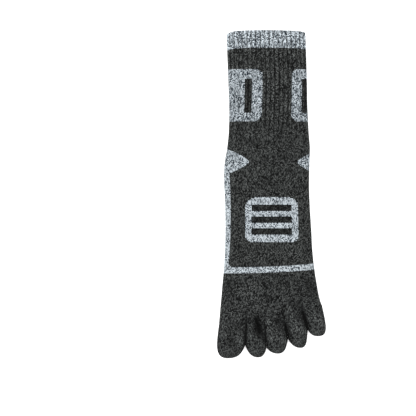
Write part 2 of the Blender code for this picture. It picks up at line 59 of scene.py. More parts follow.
def table(text):
    """A table written as text, as one array for each column: a line of names, then a line for each row."""
    names, *rows = (line.split() for line in text.strip().splitlines())
    return {name: np.array(cells, dtype=float) for name, cells in zip(names, zip(*rows))}


# Outline of the tube. A station's whole number names the stretch (0 leg, 1 foot, 2 band, 3 forefoot) and the
# rest is the share along it. Edges and the middle of the pattern are shares of the leg's width, heights are
# shares of the loft.
OUTLINE = table("""
station   left right height pattern
  0.000 -0.572 0.438   0.80   0.118
  0.135 -0.565 0.446   0.84   0.119
  0.407 -0.548 0.459   0.88   0.118
  0.649 -0.538 0.470   0.91   0.097
  0.770 -0.543 0.479   0.96   0.086
  0.892 -0.564 0.494   1.06   0.076
  1.016 -0.597 0.488   1.11   0.072
  1.171 -0.602 0.483   1.07   0.084
  1.402 -0.590 0.492   1.00   0.080
  1.634 -0.585 0.511   0.97   0.072
  1.866 -0.593 0.529   0.95   0.064
  2.290 -0.604 0.552   0.94   0.054
  3.210 -0.623 0.582   0.93   0.054
  3.520 -0.640 0.623   0.92   0.054
  3.750 -0.654 0.677   0.91   0.054
  4.000 -0.668 0.716   0.90   0.054
""")

# Line where the toes start. Across is a share of the leg's width, along a share of the forefoot. From each
# crotch the toes beside it lie against each other as far as the point that is off by lean, a share of the
# leg's width, and by run, a share of the toes' length. At the two ends that point is the handle of a curve.
# Shade says how dark the painted shade is in the crease between them, or at the rounded edge at the two ends.
CROTCHES = table("""
across along   lean  run shade
-0.666 0.980 -0.040 0.66  0.45
-0.313 0.990 -0.019 0.63  1.00
-0.077 1.075  0.019 0.57  0.55
 0.175 0.980  0.041 0.46  1.00
 0.401 0.735  0.068 0.56  1.00
 0.648 0.615  0.064 0.66  0.45
""")

# Toes. The tip lies across at a share of the leg's width and reaches a share of the toes' length. Height is
# a share of the loft. Each side arrives at the tip level, over a share of its way across.
TOE_NAMES = ("big_toe", "second_toe", "middle_toe", "fourth_toe", "little_toe")
TOES = table("""
across reach height round_left round_right
-0.558 1.000   0.96       1.12        0.70
-0.171 0.974   0.90       0.55        0.70
 0.091 0.861   0.90       0.54        0.74
 0.374 0.692   0.88       0.48        1.00
 0.595 0.342   0.84       0.56        1.22
""")

# Shares of the half round, from the middle of the instep to the middle of the back
GORE_POINT = 0.263  # where a heel gore starts
GORE_CLEAR = 0.001  # how far behind that point the heel's first column lies
GORE_END = 0.70  # where the gore has run its full height
GORE_BELLY = 0.26  # how far a gore line bellies out behind its point, which makes the point blunt
BELLY_END = 0.62  # share of the gore's run over which it does
INSTEP_SHARE = 0.478  # where the instep meets the sole

# Section of the lying tube
SIDE_SHARE = 0.43  # height of the side folds, as a share of the height there
TOP_POWER = 2.3  # roundness of the upper side, 2 is an ellipse
UNDER_POWER = 2.7  # roundness of the underside's corners
PRESS = 1.15  # over 1 presses the middle of the underside flat
CORNER_POWER = 12  # how near to the side folds the mouth's corners begin
DROP_POWER = 6  # how near to them the cuff's lower edge begins to drop

# Ribs, as shares of their depth
WALE_GROOVE = 0.12  # groove between two knit wales
GROOVE_POWER = 6  # how narrow it is
RIB_TRACE = 0.12  # what is left of the ribs below their fade

# Furrows between the toes, and the toe pockets
FURROW_START = 0.45  # share of the forefoot where the furrows begin
FURROW_POWER = 1.5  # how slowly they deepen at first
TOE_POWER = 2.1  # roundness of a toe's upper side
CROTCH_FADE = 0.35  # share of a toe over which its sides round off below the crotch
TOE_FLAT = 0.40  # share of a toe's outline that lies at full height
TIP_POWER = 2.4  # how bluntly a tip closes
PARTING = 0.5  # share of a toe's outline at which it parts from its neighbour
SPLAY = (0.17, 0.50)  # handle of the outline there, as shares of the way across and down to the tip

# Painted shade that neighbouring lobes and toes cast on each other and at free edges, and painted light on
# a toe's crown
CREASE_START = 0.81  # share of a lobe's half width from which the next one shades it
CREASE_FULL = 0.91  # and from which it does so fully
FURROW_SHADE = 0.35  # shade in the furrow above a crotch, as a share of that in a crease
FURROW_SHADE_POWER = 5  # how slowly it sets in
RIM_START, RIM_END = 0.45, 0.90  # shares of a toe's outline over which its creases turn to free edges
RIM_SHADE = 0.45  # shade at a free edge
CROWN_LIGHT = 0.22  # how much lighter a toe's crown is

# Dents and swells of the cloth as it was laid down. Each lies at x and at a row below the cuff's edge, and
# fades out over half its length and half its width, all in millimetres. Turn is the way its length leans from
# straight down towards the right, in degrees. Shade is 1 for a deep dent and below 0 for a swell. Shade both
# sinks or raises the cloth and is painted into its colour: painted shade in a dent, painted light on a swell.
DENTS = table("""
    x   row long wide turn shade
-32.6  24.4  3.8  4.9    0  0.45
-33.7 105.4  7.6  5.4    0  0.40
-17.5 122.7 13.0  3.8   68  0.45
 -3.5  82.7  4.3  3.2    0  0.25
 12.7 114.0 19.4  7.6    0  0.18
-25.1 111.9  5.4  5.4    0 -0.25
  0.9  66.5  9.7  6.5    0 -0.15
-35.9  75.2 16.2  4.3    0  0.22
-15.3  71.9 19.4  5.4    0 -0.15
 25.7  75.2 19.4  4.3    0 -0.15
-40.2 138.8 10.0  7.0    0  0.22
 -1.3 164.8 14.0  4.9   75  0.30
-17.5 150.8 11.9  7.6   40 -0.25
-36.9 178.8  9.7  4.3    0  0.25
 27.9 172.4  6.5  6.5    0 -0.15
-33.7 239.3  8.6  5.4    0  0.15
 20.3 239.3 13.0  8.6   90 -0.20
-45.0 279.3 16.2  5.4    0  0.42
 41.9 276.0 11.9  4.9   25  0.50
  6.3 270.6 13.0  6.5   90  0.16
-22.9 280.4 14.0 13.0    0 -0.25
 21.4 293.3  6.5  3.2   90  0.28
-40.2 307.4  8.6  6.5   90 -0.25
-16.4 300.9  5.4  4.3    0 -0.20
 19.2 303.0  5.4  3.8    0 -0.35
-14.2 319.8 14.5  5.8   11  1.05
-43.4 335.4 10.5  7.0    0  0.50
-33.2 332.2  9.7  3.4    0 -0.55
-52.1 326.8 11.9  3.2    0 -0.40
-25.1 325.7 13.0  3.2   10 -0.40
 -6.2 336.5  6.5  2.7   20  0.45
  7.9 312.8  5.9  3.8    0  0.50
 -2.9 324.6 14.0  5.2   15 -0.70
 18.6 326.2  8.6  3.2   22  0.60
 25.7 320.3 13.0  4.9   22 -0.60
 36.4 312.6 10.4  3.2   24  0.60
 47.8 311.7 11.9  6.5   20 -0.40
""")
SETTLE_HEIGHT = 8 * MM  # cloth this far up, and higher, dents and sways fully
LOW_SIDE = 3 * MM  # cloth below this height is under the fold and gets no shade from dents

# Waves of the laid fabric: millimetres to a radian across and down, and phase
WAVES = ((6.1, 9.7, 0.0), (4.3, -7.9, 1.3), (17.0, 5.2, 2.1),
         (13.0, -16.0, 0.870796), (13.0, 16.0, -0.070796))
SWAY_REST = 0.3  # level of the waves that leaves the cloth where it is

# Fineness
NET_ROWS, NET_COLUMNS = 420, 1440
WALES = 114  # needles of the machine, so stitches in one round
WALE_STEPS = 4  # columns of mesh in one wale
ROW_STEP = 0.9 * MM
CUFF_STEP = 0.6 * MM
FOREFOOT_STEP = 0.8 * MM
RIM_STEPS = 8  # rows over the rounded edge of the mouth
INNER_SHARE = 5  # rows outside for one row inside
LOBE_TOP, LOBE_UNDER = 44, 28
TOE_ROWS, TOE_INNER_ROWS = 48, 16
GAUGE_ROW = 16  # row of a toe whose length round it sets its number of stitches
GORE_STEPS = 400  # places at which the gore lines are looked up
TIP_CROWDING = 1.1  # over 1 draws the rows of a toe less towards its tip
TINY = 1e-12  # keeps a length that something is divided by off zero
WELD = 1e-7  # points this near to each other, in metres, are one

# Photograph: width of its frame on the sock, and the middle of that frame
VIEW_WIDTH = 449.3 * MM
VIEW_MIDDLE = (-68.3 * MM, -14.7 * MM)
LENS, SENSOR = 120.0, 36.0

# Stage, in metres and watts. A light has a name, a place, a width and a power.
FLOOR_HALF, FLOOR_LEVEL = 3.0, -0.0004
SKY, PAPER_GLOW = 0.75, 0.5
LIGHTS = (("overhead", (-0.1, 0.2, 1.5), 1.2, 22.0), ("side", (-1.2, 0.8, 1.1), 0.6, 10.0))


def linear(colour):
    """An sRGB hex colour as linear red, green and blue."""
    values = np.array([int(colour[k:k + 2], 16) for k in (1, 3, 5)]) / 255
    low = values / 12.92
    high = ((values + 0.055) / 1.055) ** 2.4
    return tuple(float(v) for v in np.where(values <= 0.04045, low, high))


def length(name, millimetres, description):
    """A length of a property group."""
    return bpy.props.FloatProperty(name=name, description=description, default=millimetres * MM, min=0.0,
                                   precision=5, subtype="DISTANCE", unit="LENGTH")


def colour(name, code, description):
    """A colour of a property group, given as sRGB hex."""
    return bpy.props.FloatVectorProperty(name=name, description=description, default=linear(code), min=0.0,
                                         max=1.0, size=3, subtype="COLOR")


class SockSizes(bpy.types.PropertyGroup):
    """Sizes of the sock as it lies."""

    leg: length("Leg", 142.5, "Cuff edge to the points of the heel gores")
    foot: length("Foot", 113.2, "Gore points to the foot band")
    band: length("Band", 6.6, "Height of the foot band")
    band_rise: length("Band rise", 3.9, "How far the band climbs towards the right side fold")
    forefoot: length("Forefoot", 55.8, "Foot band to the crotch of the big toe")
    toes: length("Toes", 36.2, "That crotch to the tip of the big toe")
    width: length("Width", 84.6, "Ribbed leg, measured flat")
    loft: length("Loft", 17.0, "Height of the lying foot at the instep")
    wall: length("Wall", 2.2, "Thickness of the terry knit")
    cuff: length("Cuff", 19.4, "Height of the cuff")
    left_drop: length("Left drop", 2.6, "How far the cuff's lower edge drops at the left side fold")
    right_drop: length("Right drop", 1.5, "How far the cuff's lower edge drops at the right side fold")
    cuff_wall: length("Cuff wall", 3.0, "Thickness of the cuff, which is knitted double")
    mouth_bow: length("Mouth bow", 1.0, "How far the mouth bows back at the side folds")
    left_corner: length("Left corner", 2.6, "How far the mouth's left corner is rounded")
    right_corner: length("Right corner", 0.8, "How far the mouth's right corner is rounded")
    gore_rise: length("Gore rise", 22.5, "Heel above the gore points")
    gore_drop: length("Gore drop", 22.5, "Heel below the gore points")
    side_flat: length("Side flat", 1.0, "Upright stretch at each side fold")
    furrow: length("Furrow room", 2.0, "Room inside under the furrow between two toes")
    seam: length("Seam", 0.04, "Gap between neighbouring pieces")


class KnitSizes(bpy.types.PropertyGroup):
    """Gauge and relief of the knit."""

    wale: length("Wale", 1.5833, "Width of one stitch, a third of a rib")
    course: length("Course", 1.15, "Height of one stitch")
    rib: length("Rib", 4.75, "Two knit wales and one purl wale")
    rib_depth: length("Rib depth", 0.60, "Depth of the purl wale between two ribs")
    rib_fade: length("Rib fade", 45.0, "Over this length the ribs die out above the gore points")
    stitch: length("Stitch relief", 0.28, "Height of the yarn above the gaps between stitches")
    tooth: length("Tooth", 0.55, "How far the loops of one colour reach into the next")
    sway: length("Sway", 0.22, "Unevenness of the lying fabric")
    dent: length("Dent", 1.2, "Depth of a dent whose shade is 1")


class YarnColours(bpy.types.PropertyGroup):
    """Colours of the yarns. Each knit is plied from two of them."""

    coal: colour("Coal", "#070808", "Dark ply of the charcoal knit")
    ash: colour("Ash", "#5e6160", "Pale ply of the charcoal knit")
    slate: colour("Slate", "#2a3138", "Dark ply of the light marl")
    milk: colour("Milk", "#c5ced4", "White ply of the light marl")
    lining: colour("Lining", "#3a3d3f", "Loops on the inside")
    floor: colour("Floor", "#f4f4f4", "Paper that the sock lies on")


def measures():
    """Sizes of the sock and of its knit."""
    return bpy.context.scene.sock_sizes, bpy.context.scene.knit_sizes


def stretch_rows(size):
    """Distances below the cuff's edge at which leg, foot, band, forefoot and toes start."""
    return np.cumsum([0.0, size.leg, size.foot, size.band, size.forefoot])


def total_length(size):
    """Cuff edge to the tip of the big toe."""
    return stretch_rows(size)[-1] + size.toes


def smooth(at, places, values):
    """Cubic through the given values, with the mean slope of the two neighbouring stretches at each."""
    slopes = np.gradient(values, places)
    at = np.clip(at, places[0], places[-1])
    k = np.clip(np.searchsorted(places, at, side="right") - 1, 0, len(places) - 2)
    step = places[k + 1] - places[k]
    t = (at - places[k]) / step
    rise = values[k + 1] - values[k]
    start = step * slopes[k] - rise
    end = rise - step * slopes[k + 1]
    return values[k] + rise * t + t * (1 - t) * (start * (1 - t) + end * t)


def outline(size, name, row):
    """A column of OUTLINE at a distance below the cuff's edge, in metres."""
    starts = stretch_rows(size)
    rows = np.interp(OUTLINE["station"], np.arange(len(starts)), starts)
    unit = size.loft if name == "height" else size.width
    return smooth(row, rows, OUTLINE[name]) * unit


def edges(size, row):
    """Left and right edge of the tube at a distance below the cuff's edge."""
    return outline(size, "left", row), outline(size, "right", row)


def dome(x, power):
    """Height of a rounded arch over x from -1 to 1: the power-th root of 1 less |x| to that power."""
    return np.maximum(0.0, 1 - np.abs(x) ** power) ** (1 / power)


def ease(x):
    """From 0 to 1 with level ends."""
    x = np.clip(x, 0.0, 1.0)
    return x * x * (3 - 2 * x)


def row_to_y(size, row):
    """Place along Y of a distance below the cuff's edge."""
    return total_length(size) / 2 - row


def band_rise(size, across):
    """How far the foot band has climbed at a place across, from -1 at the left fold to 1 at the right."""
    return size.band_rise * ((1 + across) / 2) ** 2


def side_heights(size, height):
    """Top and bottom of the upright stretch at a side fold."""
    return height * SIDE_SHARE + size.side_flat / 2, height * SIDE_SHARE - size.side_flat / 2


def arches(x, height, fold_top, fold_bottom, power):
    """Upper and lower height at x from -1 to 1: a dome above the side folds and a pressed one below them."""
    upper = fold_top + (height - fold_top) * dome(x, power)
    lower = np.maximum(0.0, fold_bottom * (1 - PRESS * dome(x, UNDER_POWER)))
    return upper, lower


def tube_sections(size, rows, across):
    """Upper and lower height of the plain tube."""
    height = outline(size, "height", rows)
    return arches(across, height, *side_heights(size, height), TOP_POWER)


def path_lengths(path):
    """Distance along a line of points, from its first point to each."""
    return np.concatenate([[0], np.cumsum(np.linalg.norm(np.diff(path, axis=0), axis=1))])


def outward(points):
    """Unit vectors square to a closed net of points, from the steps along its columns and its rows."""
    ring = np.hstack([points[:, -2:-1], points, points[:, 1:2]])
    square = np.cross(ring[:, 2:] - ring[:, :-2], np.gradient(points, axis=0))
    return -square / np.maximum(np.linalg.norm(square, axis=2, keepdims=True), TINY)


def lining(points, centre, half, height, wall):
    """Inside of a tube: each section drawn in towards its centre by the wall at its sides, top and base."""
    inside = centre + (points - centre) * (1 - wall / half)
    up = height - centre[..., 2:]
    share = np.where(points[..., 2:] > centre[..., 2:], up, centre[..., 2:])
    inside[..., 2:] = centre[..., 2:] + (points - centre)[..., 2:] * (1 - wall / share)
    return inside


def tube_net(size, wall):
    """The tube from cuff to band as an outer and an inner net, with the outward directions.

    Each section runs from the left fold over the top to the right fold and back below. It is measured along
    its own length and cut open opposite the middle of the pattern, so column shares run from -1 over 0, the
    pattern's middle, to 1.
    """
    rows = np.linspace(0, stretch_rows(size)[3], NET_ROWS)
    across = -np.cos(np.linspace(0, np.pi, NET_COLUMNS))
    upper, lower = tube_sections(size, rows[:, None], across[None, :])
    left, right = (edge[:, None] for edge in edges(size, rows))
    x = (left + right) / 2 + (right - left) / 2 * across
    xs = np.hstack([x, x[:, ::-1], x[:, :1]])
    zs = np.hstack([upper, lower[:, ::-1], upper[:, :1]])
    middle = outline(size, "pattern", rows)
    net = np.empty((NET_ROWS, NET_COLUMNS + 1, 3))
    for k in range(NET_ROWS):
        run = path_lengths(np.stack([xs[k], zs[k]], axis=1))
        start = np.interp((left[k, 0] + right[k, 0]) / 2 + middle[k], x[k], run[:NET_COLUMNS])
        places = (start + np.linspace(-0.5, 0.5, NET_COLUMNS + 1) * run[-1]) % run[-1]
        net[k, :, 0] = np.interp(places, run, xs[k])
        net[k, :, 2] = np.interp(places, run, zs[k])
    y = row_to_y(size, rows)[:, None]
    net[:, :, 1] = y
    height = outline(size, "height", rows)[:, None]
    centre = np.stack([(left + right) / 2, y, height * SIDE_SHARE], axis=-1)
    inner = lining(net, centre, (right - left)[..., None] / 2, height[..., None], wall)
    return {"rows": rows, "points": net, "outward": outward(net), "inner": inner}


def on_net(net, name, rows, shares):
    """Values of the net at the given rows and column shares, weighed between its four nearest points."""
    rows, shares = np.broadcast_arrays(rows, shares)
    down = np.interp(rows, net["rows"], np.arange(NET_ROWS))
    around = ((shares + 1) / 2 % 1.0) * NET_COLUMNS
    i = np.minimum(down.astype(int), NET_ROWS - 2)
    j = np.minimum(around.astype(int), NET_COLUMNS - 1)
    a = (down - i)[..., None]
    b = (around - j)[..., None]
    values = net[name]
    upper = values[i, j] * (1 - b) + values[i, j + 1] * b
    lower = values[i + 1, j] * (1 - b) + values[i + 1, j + 1] * b
    return upper * (1 - a) + lower * a


def sunk(net, rows, shares, relief):
    """Points of the tube, sunk by the relief against the outward way."""
    relief = np.asarray(relief)[..., None]
    return on_net(net, "points", rows, shares) - on_net(net, "outward", rows, shares) * relief


def across_share(size, net, row, shares):
    """Place across the tube, from -1 at the left fold to 1 at the right, of column shares at a row."""
    points = on_net(net, "points", row, shares)
    left, right = edges(size, row)
    return np.clip((points[..., 0] - (left + right) / 2) / ((right - left) / 2), -1, 1)


def climb_at(size, net, row, shares):
    """How far the foot band has climbed at column shares of a row."""
    return band_rise(size, across_share(size, net, row, shares))


def gore_ramp(share):
    """How far a gore line has run at a column share: 0 over the instep, 1 over the back.

    It is a straight ramp, with a bulge behind its point that sets in as a square root and dies out.
    """
    away = np.minimum(np.abs(share), 2 - np.abs(share))
    run = np.clip((away - GORE_POINT) / (GORE_END - GORE_POINT), 0.0, 1.0)
    part = np.minimum(run / BELLY_END, 1.0)
    return run + GORE_BELLY * np.sqrt(part) * (1 - part)


def gore_share(ramp):
    """Column share at which a gore line has run so far, looked up in the ramp."""
    shares = np.linspace(GORE_POINT, GORE_END, GORE_STEPS)
    return np.interp(ramp, gore_ramp(shares), shares)


def half_round(knit):
    """Half the length round the sock that the UV map counts in."""
    return WALES / 2 * knit.wale


def teeth(knit, shares):
    """Edge of one colour against the next: a zigzag of one tooth to a wale."""
    wale = shares * half_round(knit) / knit.wale
    return knit.tooth * (0.5 - 2 * np.abs(wale - np.floor(wale) - 0.5))


def cuff_edge(size, knit, across, shares):
    """Distance from the mouth to the line where cuff and leg meet, which drops towards the side folds."""
    drop = np.where(across < 0, size.left_drop, size.right_drop)
    return size.cuff + drop * np.abs(across) ** DROP_POWER + teeth(knit, shares)


def rib_relief(size, knit, shares, rows):
    """Depth of the fabric below the ribs, from a cosine of one turn for each rib.

    Its low side squared is the narrow purl wale, and its high side to a power the fine groove between the two
    knit wales.
    """
    turn = np.cos(2 * np.pi * shares * half_round(knit) / knit.rib)
    purl = ((1 - turn) / 2) ** 2
    groove = WALE_GROOVE * ((1 + turn) / 2) ** GROOVE_POWER
    fade = ease((size.leg - rows) / knit.rib_fade)
    return knit.rib_depth * (purl + groove) * (RIB_TRACE + (1 - RIB_TRACE) * fade)


def sway(knit, points):
    """Unevenness of fabric laid by hand: the sum of sine waves that cross at odd angles."""
    x, y = points[..., 0] / MM, points[..., 1] / MM
    waves = sum(np.sin(x / across + y / down + phase) for across, down, phase in WAVES)
    return knit.sway * (waves / 3 - SWAY_REST)


def dents(size, points):
    """Shade of the dents at points: for each, e to the minus cubed distance in its own turned measures."""
    across, down = points[:, 0] / MM, (total_length(size) / 2 - points[:, 1]) / MM
    total = np.zeros(len(points))
    for x, row, long, wide, turn, shade in zip(*DENTS.values()):
        lean = np.radians(turn)
        along = ((down - row) * np.cos(lean) + (across - x) * np.sin(lean)) / long
        beside = ((across - x) * np.cos(lean) - (down - row) * np.sin(lean)) / wide
        total += shade * np.exp(-(along ** 2 + beside ** 2) ** 1.5)
    return total


def quads(numbers, turned=False):
    """Faces between the point numbers of a grid."""
    a, b, c, d = numbers[:-1, :-1], numbers[1:, :-1], numbers[1:, 1:], numbers[:-1, 1:]
    return np.stack((a, d, c, b) if turned else (a, b, c, d), axis=-1).reshape(-1, 4).tolist()


def wall_faces(rows, inner_rows, places, is_round):
    """Faces of a closed wall: an outer grid, an inner grid, and strips between their edges.

    Points are numbered row by row, the outer grid first. A side that isn't round is shut by one many-sided
    face for each step of the inner grid.
    """
    outer = np.arange(rows * places).reshape(rows, places)
    inner = outer.size + np.arange(inner_rows * places).reshape(inner_rows, places)
    faces = quads(outer) + quads(inner, True)
    faces += quads(np.stack([inner[0], outer[0]])) + quads(np.stack([outer[-1], inner[-1]]))
    if not is_round:
        rise = np.linspace(0, rows - 1, inner_rows).round().astype(int)
        for side, way in ((0, -1), (-1, 1)):
            for k in range(inner_rows - 1):
                fan = outer[rise[k]:rise[k + 1] + 1, side]
                ring = np.concatenate([fan, [inner[k + 1, side], inner[k, side]]])
                faces.append(ring[::way].tolist())
    return faces


def weld(mesh):
    """Merges the first and last place of round rows and closes tips."""
    work = bmesh.new()
    work.from_mesh(mesh)
    bmesh.ops.remove_doubles(work, verts=work.verts, dist=WELD)
    bmesh.ops.dissolve_degenerate(work, edges=work.edges, dist=WELD)
    work.to_mesh(mesh)
    work.free()


def collection():
    """The collection that holds the sock."""
    found = bpy.data.collections.get("toe_sock")
    if found is None:
        found = bpy.data.collections.new("toe_sock")
        bpy.context.scene.collection.children.link(found)
    return found


def make_piece(name, points, faces, uv, finish, outside, crease=0.0):
    """A knitted mesh on the sock's one body, in the stead of the CAD node of that name.

    Its upper side is moved by dents and unevenness, more the higher a point lies. The first faces, as many as
    outside says, get the finish and the others the lining. Crease says for each point how much painted shade
    neighbouring cloth puts on it, from 0 to 1, and the dents add theirs; below 0 it is painted light, on the
    toes' crowns and on swells.
    """
    size, knit = measures()
    hollow = dents(size, points)
    weight = ease(points[:, 2] / SETTLE_HEIGHT)
    points[:, 2] += (sway(knit, points) - knit.dent * hollow) * weight
    shade = hollow * ease((points[:, 2] - LOW_SIDE) / LOW_SIDE) + crease
    mesh = bpy.data.meshes.new(name + "_knit")
    mesh.from_pydata(points.tolist(), [], faces)
    index = np.empty(len(mesh.loops), dtype=np.int32)
    mesh.loops.foreach_get("vertex_index", index)
    mesh.uv_layers.new(name="knit").data.foreach_set("uv", uv[index].astype(np.float32).ravel())
    mesh.materials.append(knit_finish(finish))
    if outside < len(faces):
        mesh.materials.append(lining_finish())
    mesh.polygons.foreach_set("material_index", (np.arange(len(faces)) >= outside).astype(np.int32))
    mesh.polygons.foreach_set("use_smooth", np.ones(len(faces), dtype=bool))
    # The point attribute crease carries this painted shade and light into the knit's colour
    mesh.attributes.new("crease", "FLOAT", "POINT").data.foreach_set("value", shade.astype(np.float32))
    weld(mesh)
    mesh.update()
    piece = bpy.data.objects.new(name + "_knit", mesh)
    collection().objects.link(piece)
    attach(piece, "root")
    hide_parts(name)


def knit_wall(name, outer, inner, uv, uv_inner, finish, is_round=True, crease=0.0):
    """A knitted wall between an outer and an inner grid whose rows have the same number of places."""
    rows, places = outer.shape[:2]
    points = np.vstack([outer.reshape(-1, 3), inner.reshape(-1, 3)])
    uv = np.vstack([uv.reshape(-1, 2), uv_inner.reshape(-1, 2)])
    shade = np.zeros(len(points))
    shade[:rows * places] = np.ravel(crease)
    faces = wall_faces(rows, len(inner), places, is_round)
    make_piece(name, points, faces, uv, finish, (rows - 1) * (places - 1), shade)


def steps(span, step):
    """Number of rows that a span needs at a step's length."""
    return int(np.ceil(span / step)) + 1


def rows_between(size, top, bottom, span):
    """Rows from half a seam below top to half a seam above bottom, as many as that span needs."""
    top, bottom = top + size.seam / 2, bottom - size.seam / 2
    return top + (bottom - top) * np.linspace(0, 1, steps(span, ROW_STEP))[:, None]


def lining_rows(count):
    """Which of so many outer rows the lining follows."""
    return np.linspace(0, count - 1, max(2, count // INNER_SHARE)).round().astype(int)


def knit_map(u, v):
    """UV map in millimetres from lengths round the sock and down it."""
    return np.stack(np.broadcast_arrays(u, v), axis=-1) / MM


def round_shares():
    """Column shares all round, with WALE_STEPS of them to a wale."""
    return np.linspace(-1, 1, WALES * WALE_STEPS + 1)[None, :]


def cut_piece(net, name, rows, shares, finish, relief=0.0, is_round=False):
    """A piece of the tube over a grid of rows and column shares, sunk by the relief."""
    rows, shares = np.broadcast_arrays(rows, shares)
    pick = lining_rows(len(rows))
    inner = on_net(net, "inner", rows[pick], shares[pick])
    uv = knit_map(shares * half_round(measures()[1]), rows)
    knit_wall(name, sunk(net, rows, shares, relief), inner, uv, uv[pick], finish, is_round)


class SOCK_OT_cuff(bpy.types.Operator):
    """Ribbed double welt whose wall rolls over at the mouth"""

    bl_idname = "sock.cuff"
    bl_label = "Cuff"

    def execute(self, context):
        size, knit = measures()
        net = tube_net(size, size.cuff_wall)
        shares = round_shares()
        across = across_share(size, net, 0.0, shares)
        corner = np.where(across < 0, size.left_corner, size.right_corner)
        bend = size.mouth_bow * across ** 2 + corner * across ** CORNER_POWER + size.cuff_wall / 2
        base = cuff_edge(size, knit, across, shares) - size.seam / 2
        rows = base + (bend - base) * np.linspace(0, 1, steps(size.cuff, CUFF_STEP))[:, None]
        outer = sunk(net, rows, shares, rib_relief(size, knit, shares, rows))
        inner = on_net(net, "inner", bend, shares)[0]
        # The rim is half an ellipse from the outer edge over to the inner one
        angle = np.linspace(0, np.pi, RIM_STEPS + 1)[1:, None, None]
        up = np.array([0.0, size.cuff_wall / 2, 0.0])
        rim = (outer[-1] + inner) / 2 + (outer[-1] - inner) / 2 * np.cos(angle) + up * np.sin(angle)
        back = bend + (base - bend) * np.linspace(0, 1, len(rows) // 2)[1:, None]
        sheet = np.vstack([outer, rim, on_net(net, "inner", back, shares)])
        v = np.vstack([rows, bend - size.cuff_wall / 2 * np.sin(angle[..., 0]), back])
        uv = knit_map(shares * half_round(knit), v)
        numbers = np.arange(v.size).reshape(v.shape)
        faces = quads(np.vstack([numbers, numbers[:1]]), True)
        make_piece("cuff", sheet.reshape(-1, 3), faces, uv.reshape(-1, 2), "light", len(faces))
        return {"FINISHED"}


class SOCK_OT_leg(bpy.types.Operator):
    """Ribbed tube from the cuff to the upper gore lines, with its frames knitted in"""

    bl_idname = "sock.leg"
    bl_label = "Leg"

    def execute(self, context):
        size, knit = measures()
        net = tube_net(size, size.wall)
        shares = round_shares()
        top = cuff_edge(size, knit, across_share(size, net, 0.0, shares), shares)
        bottom = size.leg - size.gore_rise * gore_ramp(shares)
        rows = rows_between(size, top, bottom, size.leg - size.cuff)
        cut_piece(net, "leg", rows, shares, "leg", rib_relief(size, knit, shares, rows), True)
        return {"FINISHED"}


class SOCK_OT_heel(bpy.types.Operator):
    """Pouch between the gore lines, which shows as a point at each side"""

    bl_idname = "sock.heel"
    bl_label = "Heel"

    def execute(self, context):
        size, _ = measures()
        start = GORE_POINT + GORE_CLEAR
        shares = np.linspace(start, 2 - start, int(round((1 - GORE_POINT) * WALES * WALE_STEPS)))[None, :]
        ramp = gore_ramp(shares)
        rows = rows_between(size, size.leg - size.gore_rise * ramp, size.leg + size.gore_drop * ramp,
                            size.gore_rise + size.gore_drop)
        cut_piece(tube_net(size, size.wall), "heel", rows, shares, "light")
        return {"FINISHED"}


class SOCK_OT_instep(bpy.types.Operator):
    """Upper of the foot, with its badge knitted in"""

    bl_idname = "sock.instep"
    bl_label = "Instep"

    def execute(self, context):
        size, knit = measures()
        net = tube_net(size, size.wall)
        band_row = stretch_rows(size)[2]
        rows = np.linspace(size.leg + size.seam / 2, band_row, steps(size.foot, ROW_STEP))
        widening = gore_share((rows - size.leg) / size.gore_drop)
        edge = np.minimum(widening, INSTEP_SHARE) - size.seam / 2 / half_round(knit)
        columns = int(round(INSTEP_SHARE * WALES * WALE_STEPS))
        shares = edge[:, None] * np.linspace(-1, 1, columns)[None, :]
        lift = climb_at(size, net, band_row, shares[-1]) - teeth(knit, shares[-1])
        settled = ease((rows - rows[0]) / (band_row - rows[0]))[:, None]
        rows = rows[:, None] - (lift[None, :] + size.seam / 2) * settled
        cut_piece(net, "instep", rows, shares, "instep")
        return {"FINISHED"}


class SOCK_OT_sole(bpy.types.Operator):
    """Underside of the foot, from the lower gore lines to the band"""

    bl_idname = "sock.sole"
    bl_label = "Sole"

    def execute(self, context):
        size, knit = measures()
        net = tube_net(size, size.wall)
        band_row = stretch_rows(size)[2]
        edge = INSTEP_SHARE + size.seam / 2 / half_round(knit)
        shares = np.linspace(edge, 2 - edge, int(round((1 - edge) * WALES * WALE_STEPS)))[None, :]
        top = size.leg + size.gore_drop * gore_ramp(shares)
        bottom = band_row - climb_at(size, net, band_row, shares) + teeth(knit, shares)
        rows = rows_between(size, top, bottom, size.foot - size.gore_drop)
        cut_piece(net, "sole", rows, shares, "light")
        return {"FINISHED"}


class SOCK_OT_foot_band(bpy.types.Operator):
    """Light stripe that runs round the foot"""

    bl_idname = "sock.foot_band"
    bl_label = "Foot band"

    def execute(self, context):
        size, knit = measures()
        net = tube_net(size, size.wall)
        start, end = stretch_rows(size)[2:4]
        shares = round_shares()
        climb = climb_at(size, net, end, shares)
        rows = rows_between(size, start + teeth(knit, shares) - climb, end - climb, size.band)
        cut_piece(net, "foot_band", rows, shares, "light", is_round=True)
        return {"FINISHED"}


def crotch_points(size):
    """Plan of the line where the toes start, as points in X and Y."""
    rows = stretch_rows(size)[3] + CROTCHES["along"] * size.forefoot
    return np.stack([CROTCHES["across"] * size.width, row_to_y(size, rows)], axis=1)


def toe_section(size, index, x, t):
    """Upper and lower height of a toe at x from -1 to 1 across it and share t of its outline.

    An outer side is a fold like the tube's. A side at a crotch is an upright wall that turns into one.
    """
    height = TOES["height"][index] * size.loft
    folded = side_heights(size, height)
    upright = (2 * size.wall + size.furrow, 0.0)
    is_outer = ((x < 0) & (index == 0)) | ((x > 0) & (index == len(TOE_NAMES) - 1))
    mix = np.where(is_outer, 1.0, ease(t / CROTCH_FADE))
    return arches(x, height, *(a + (b - a) * mix for a, b in zip(upright, folded)), TOE_POWER)


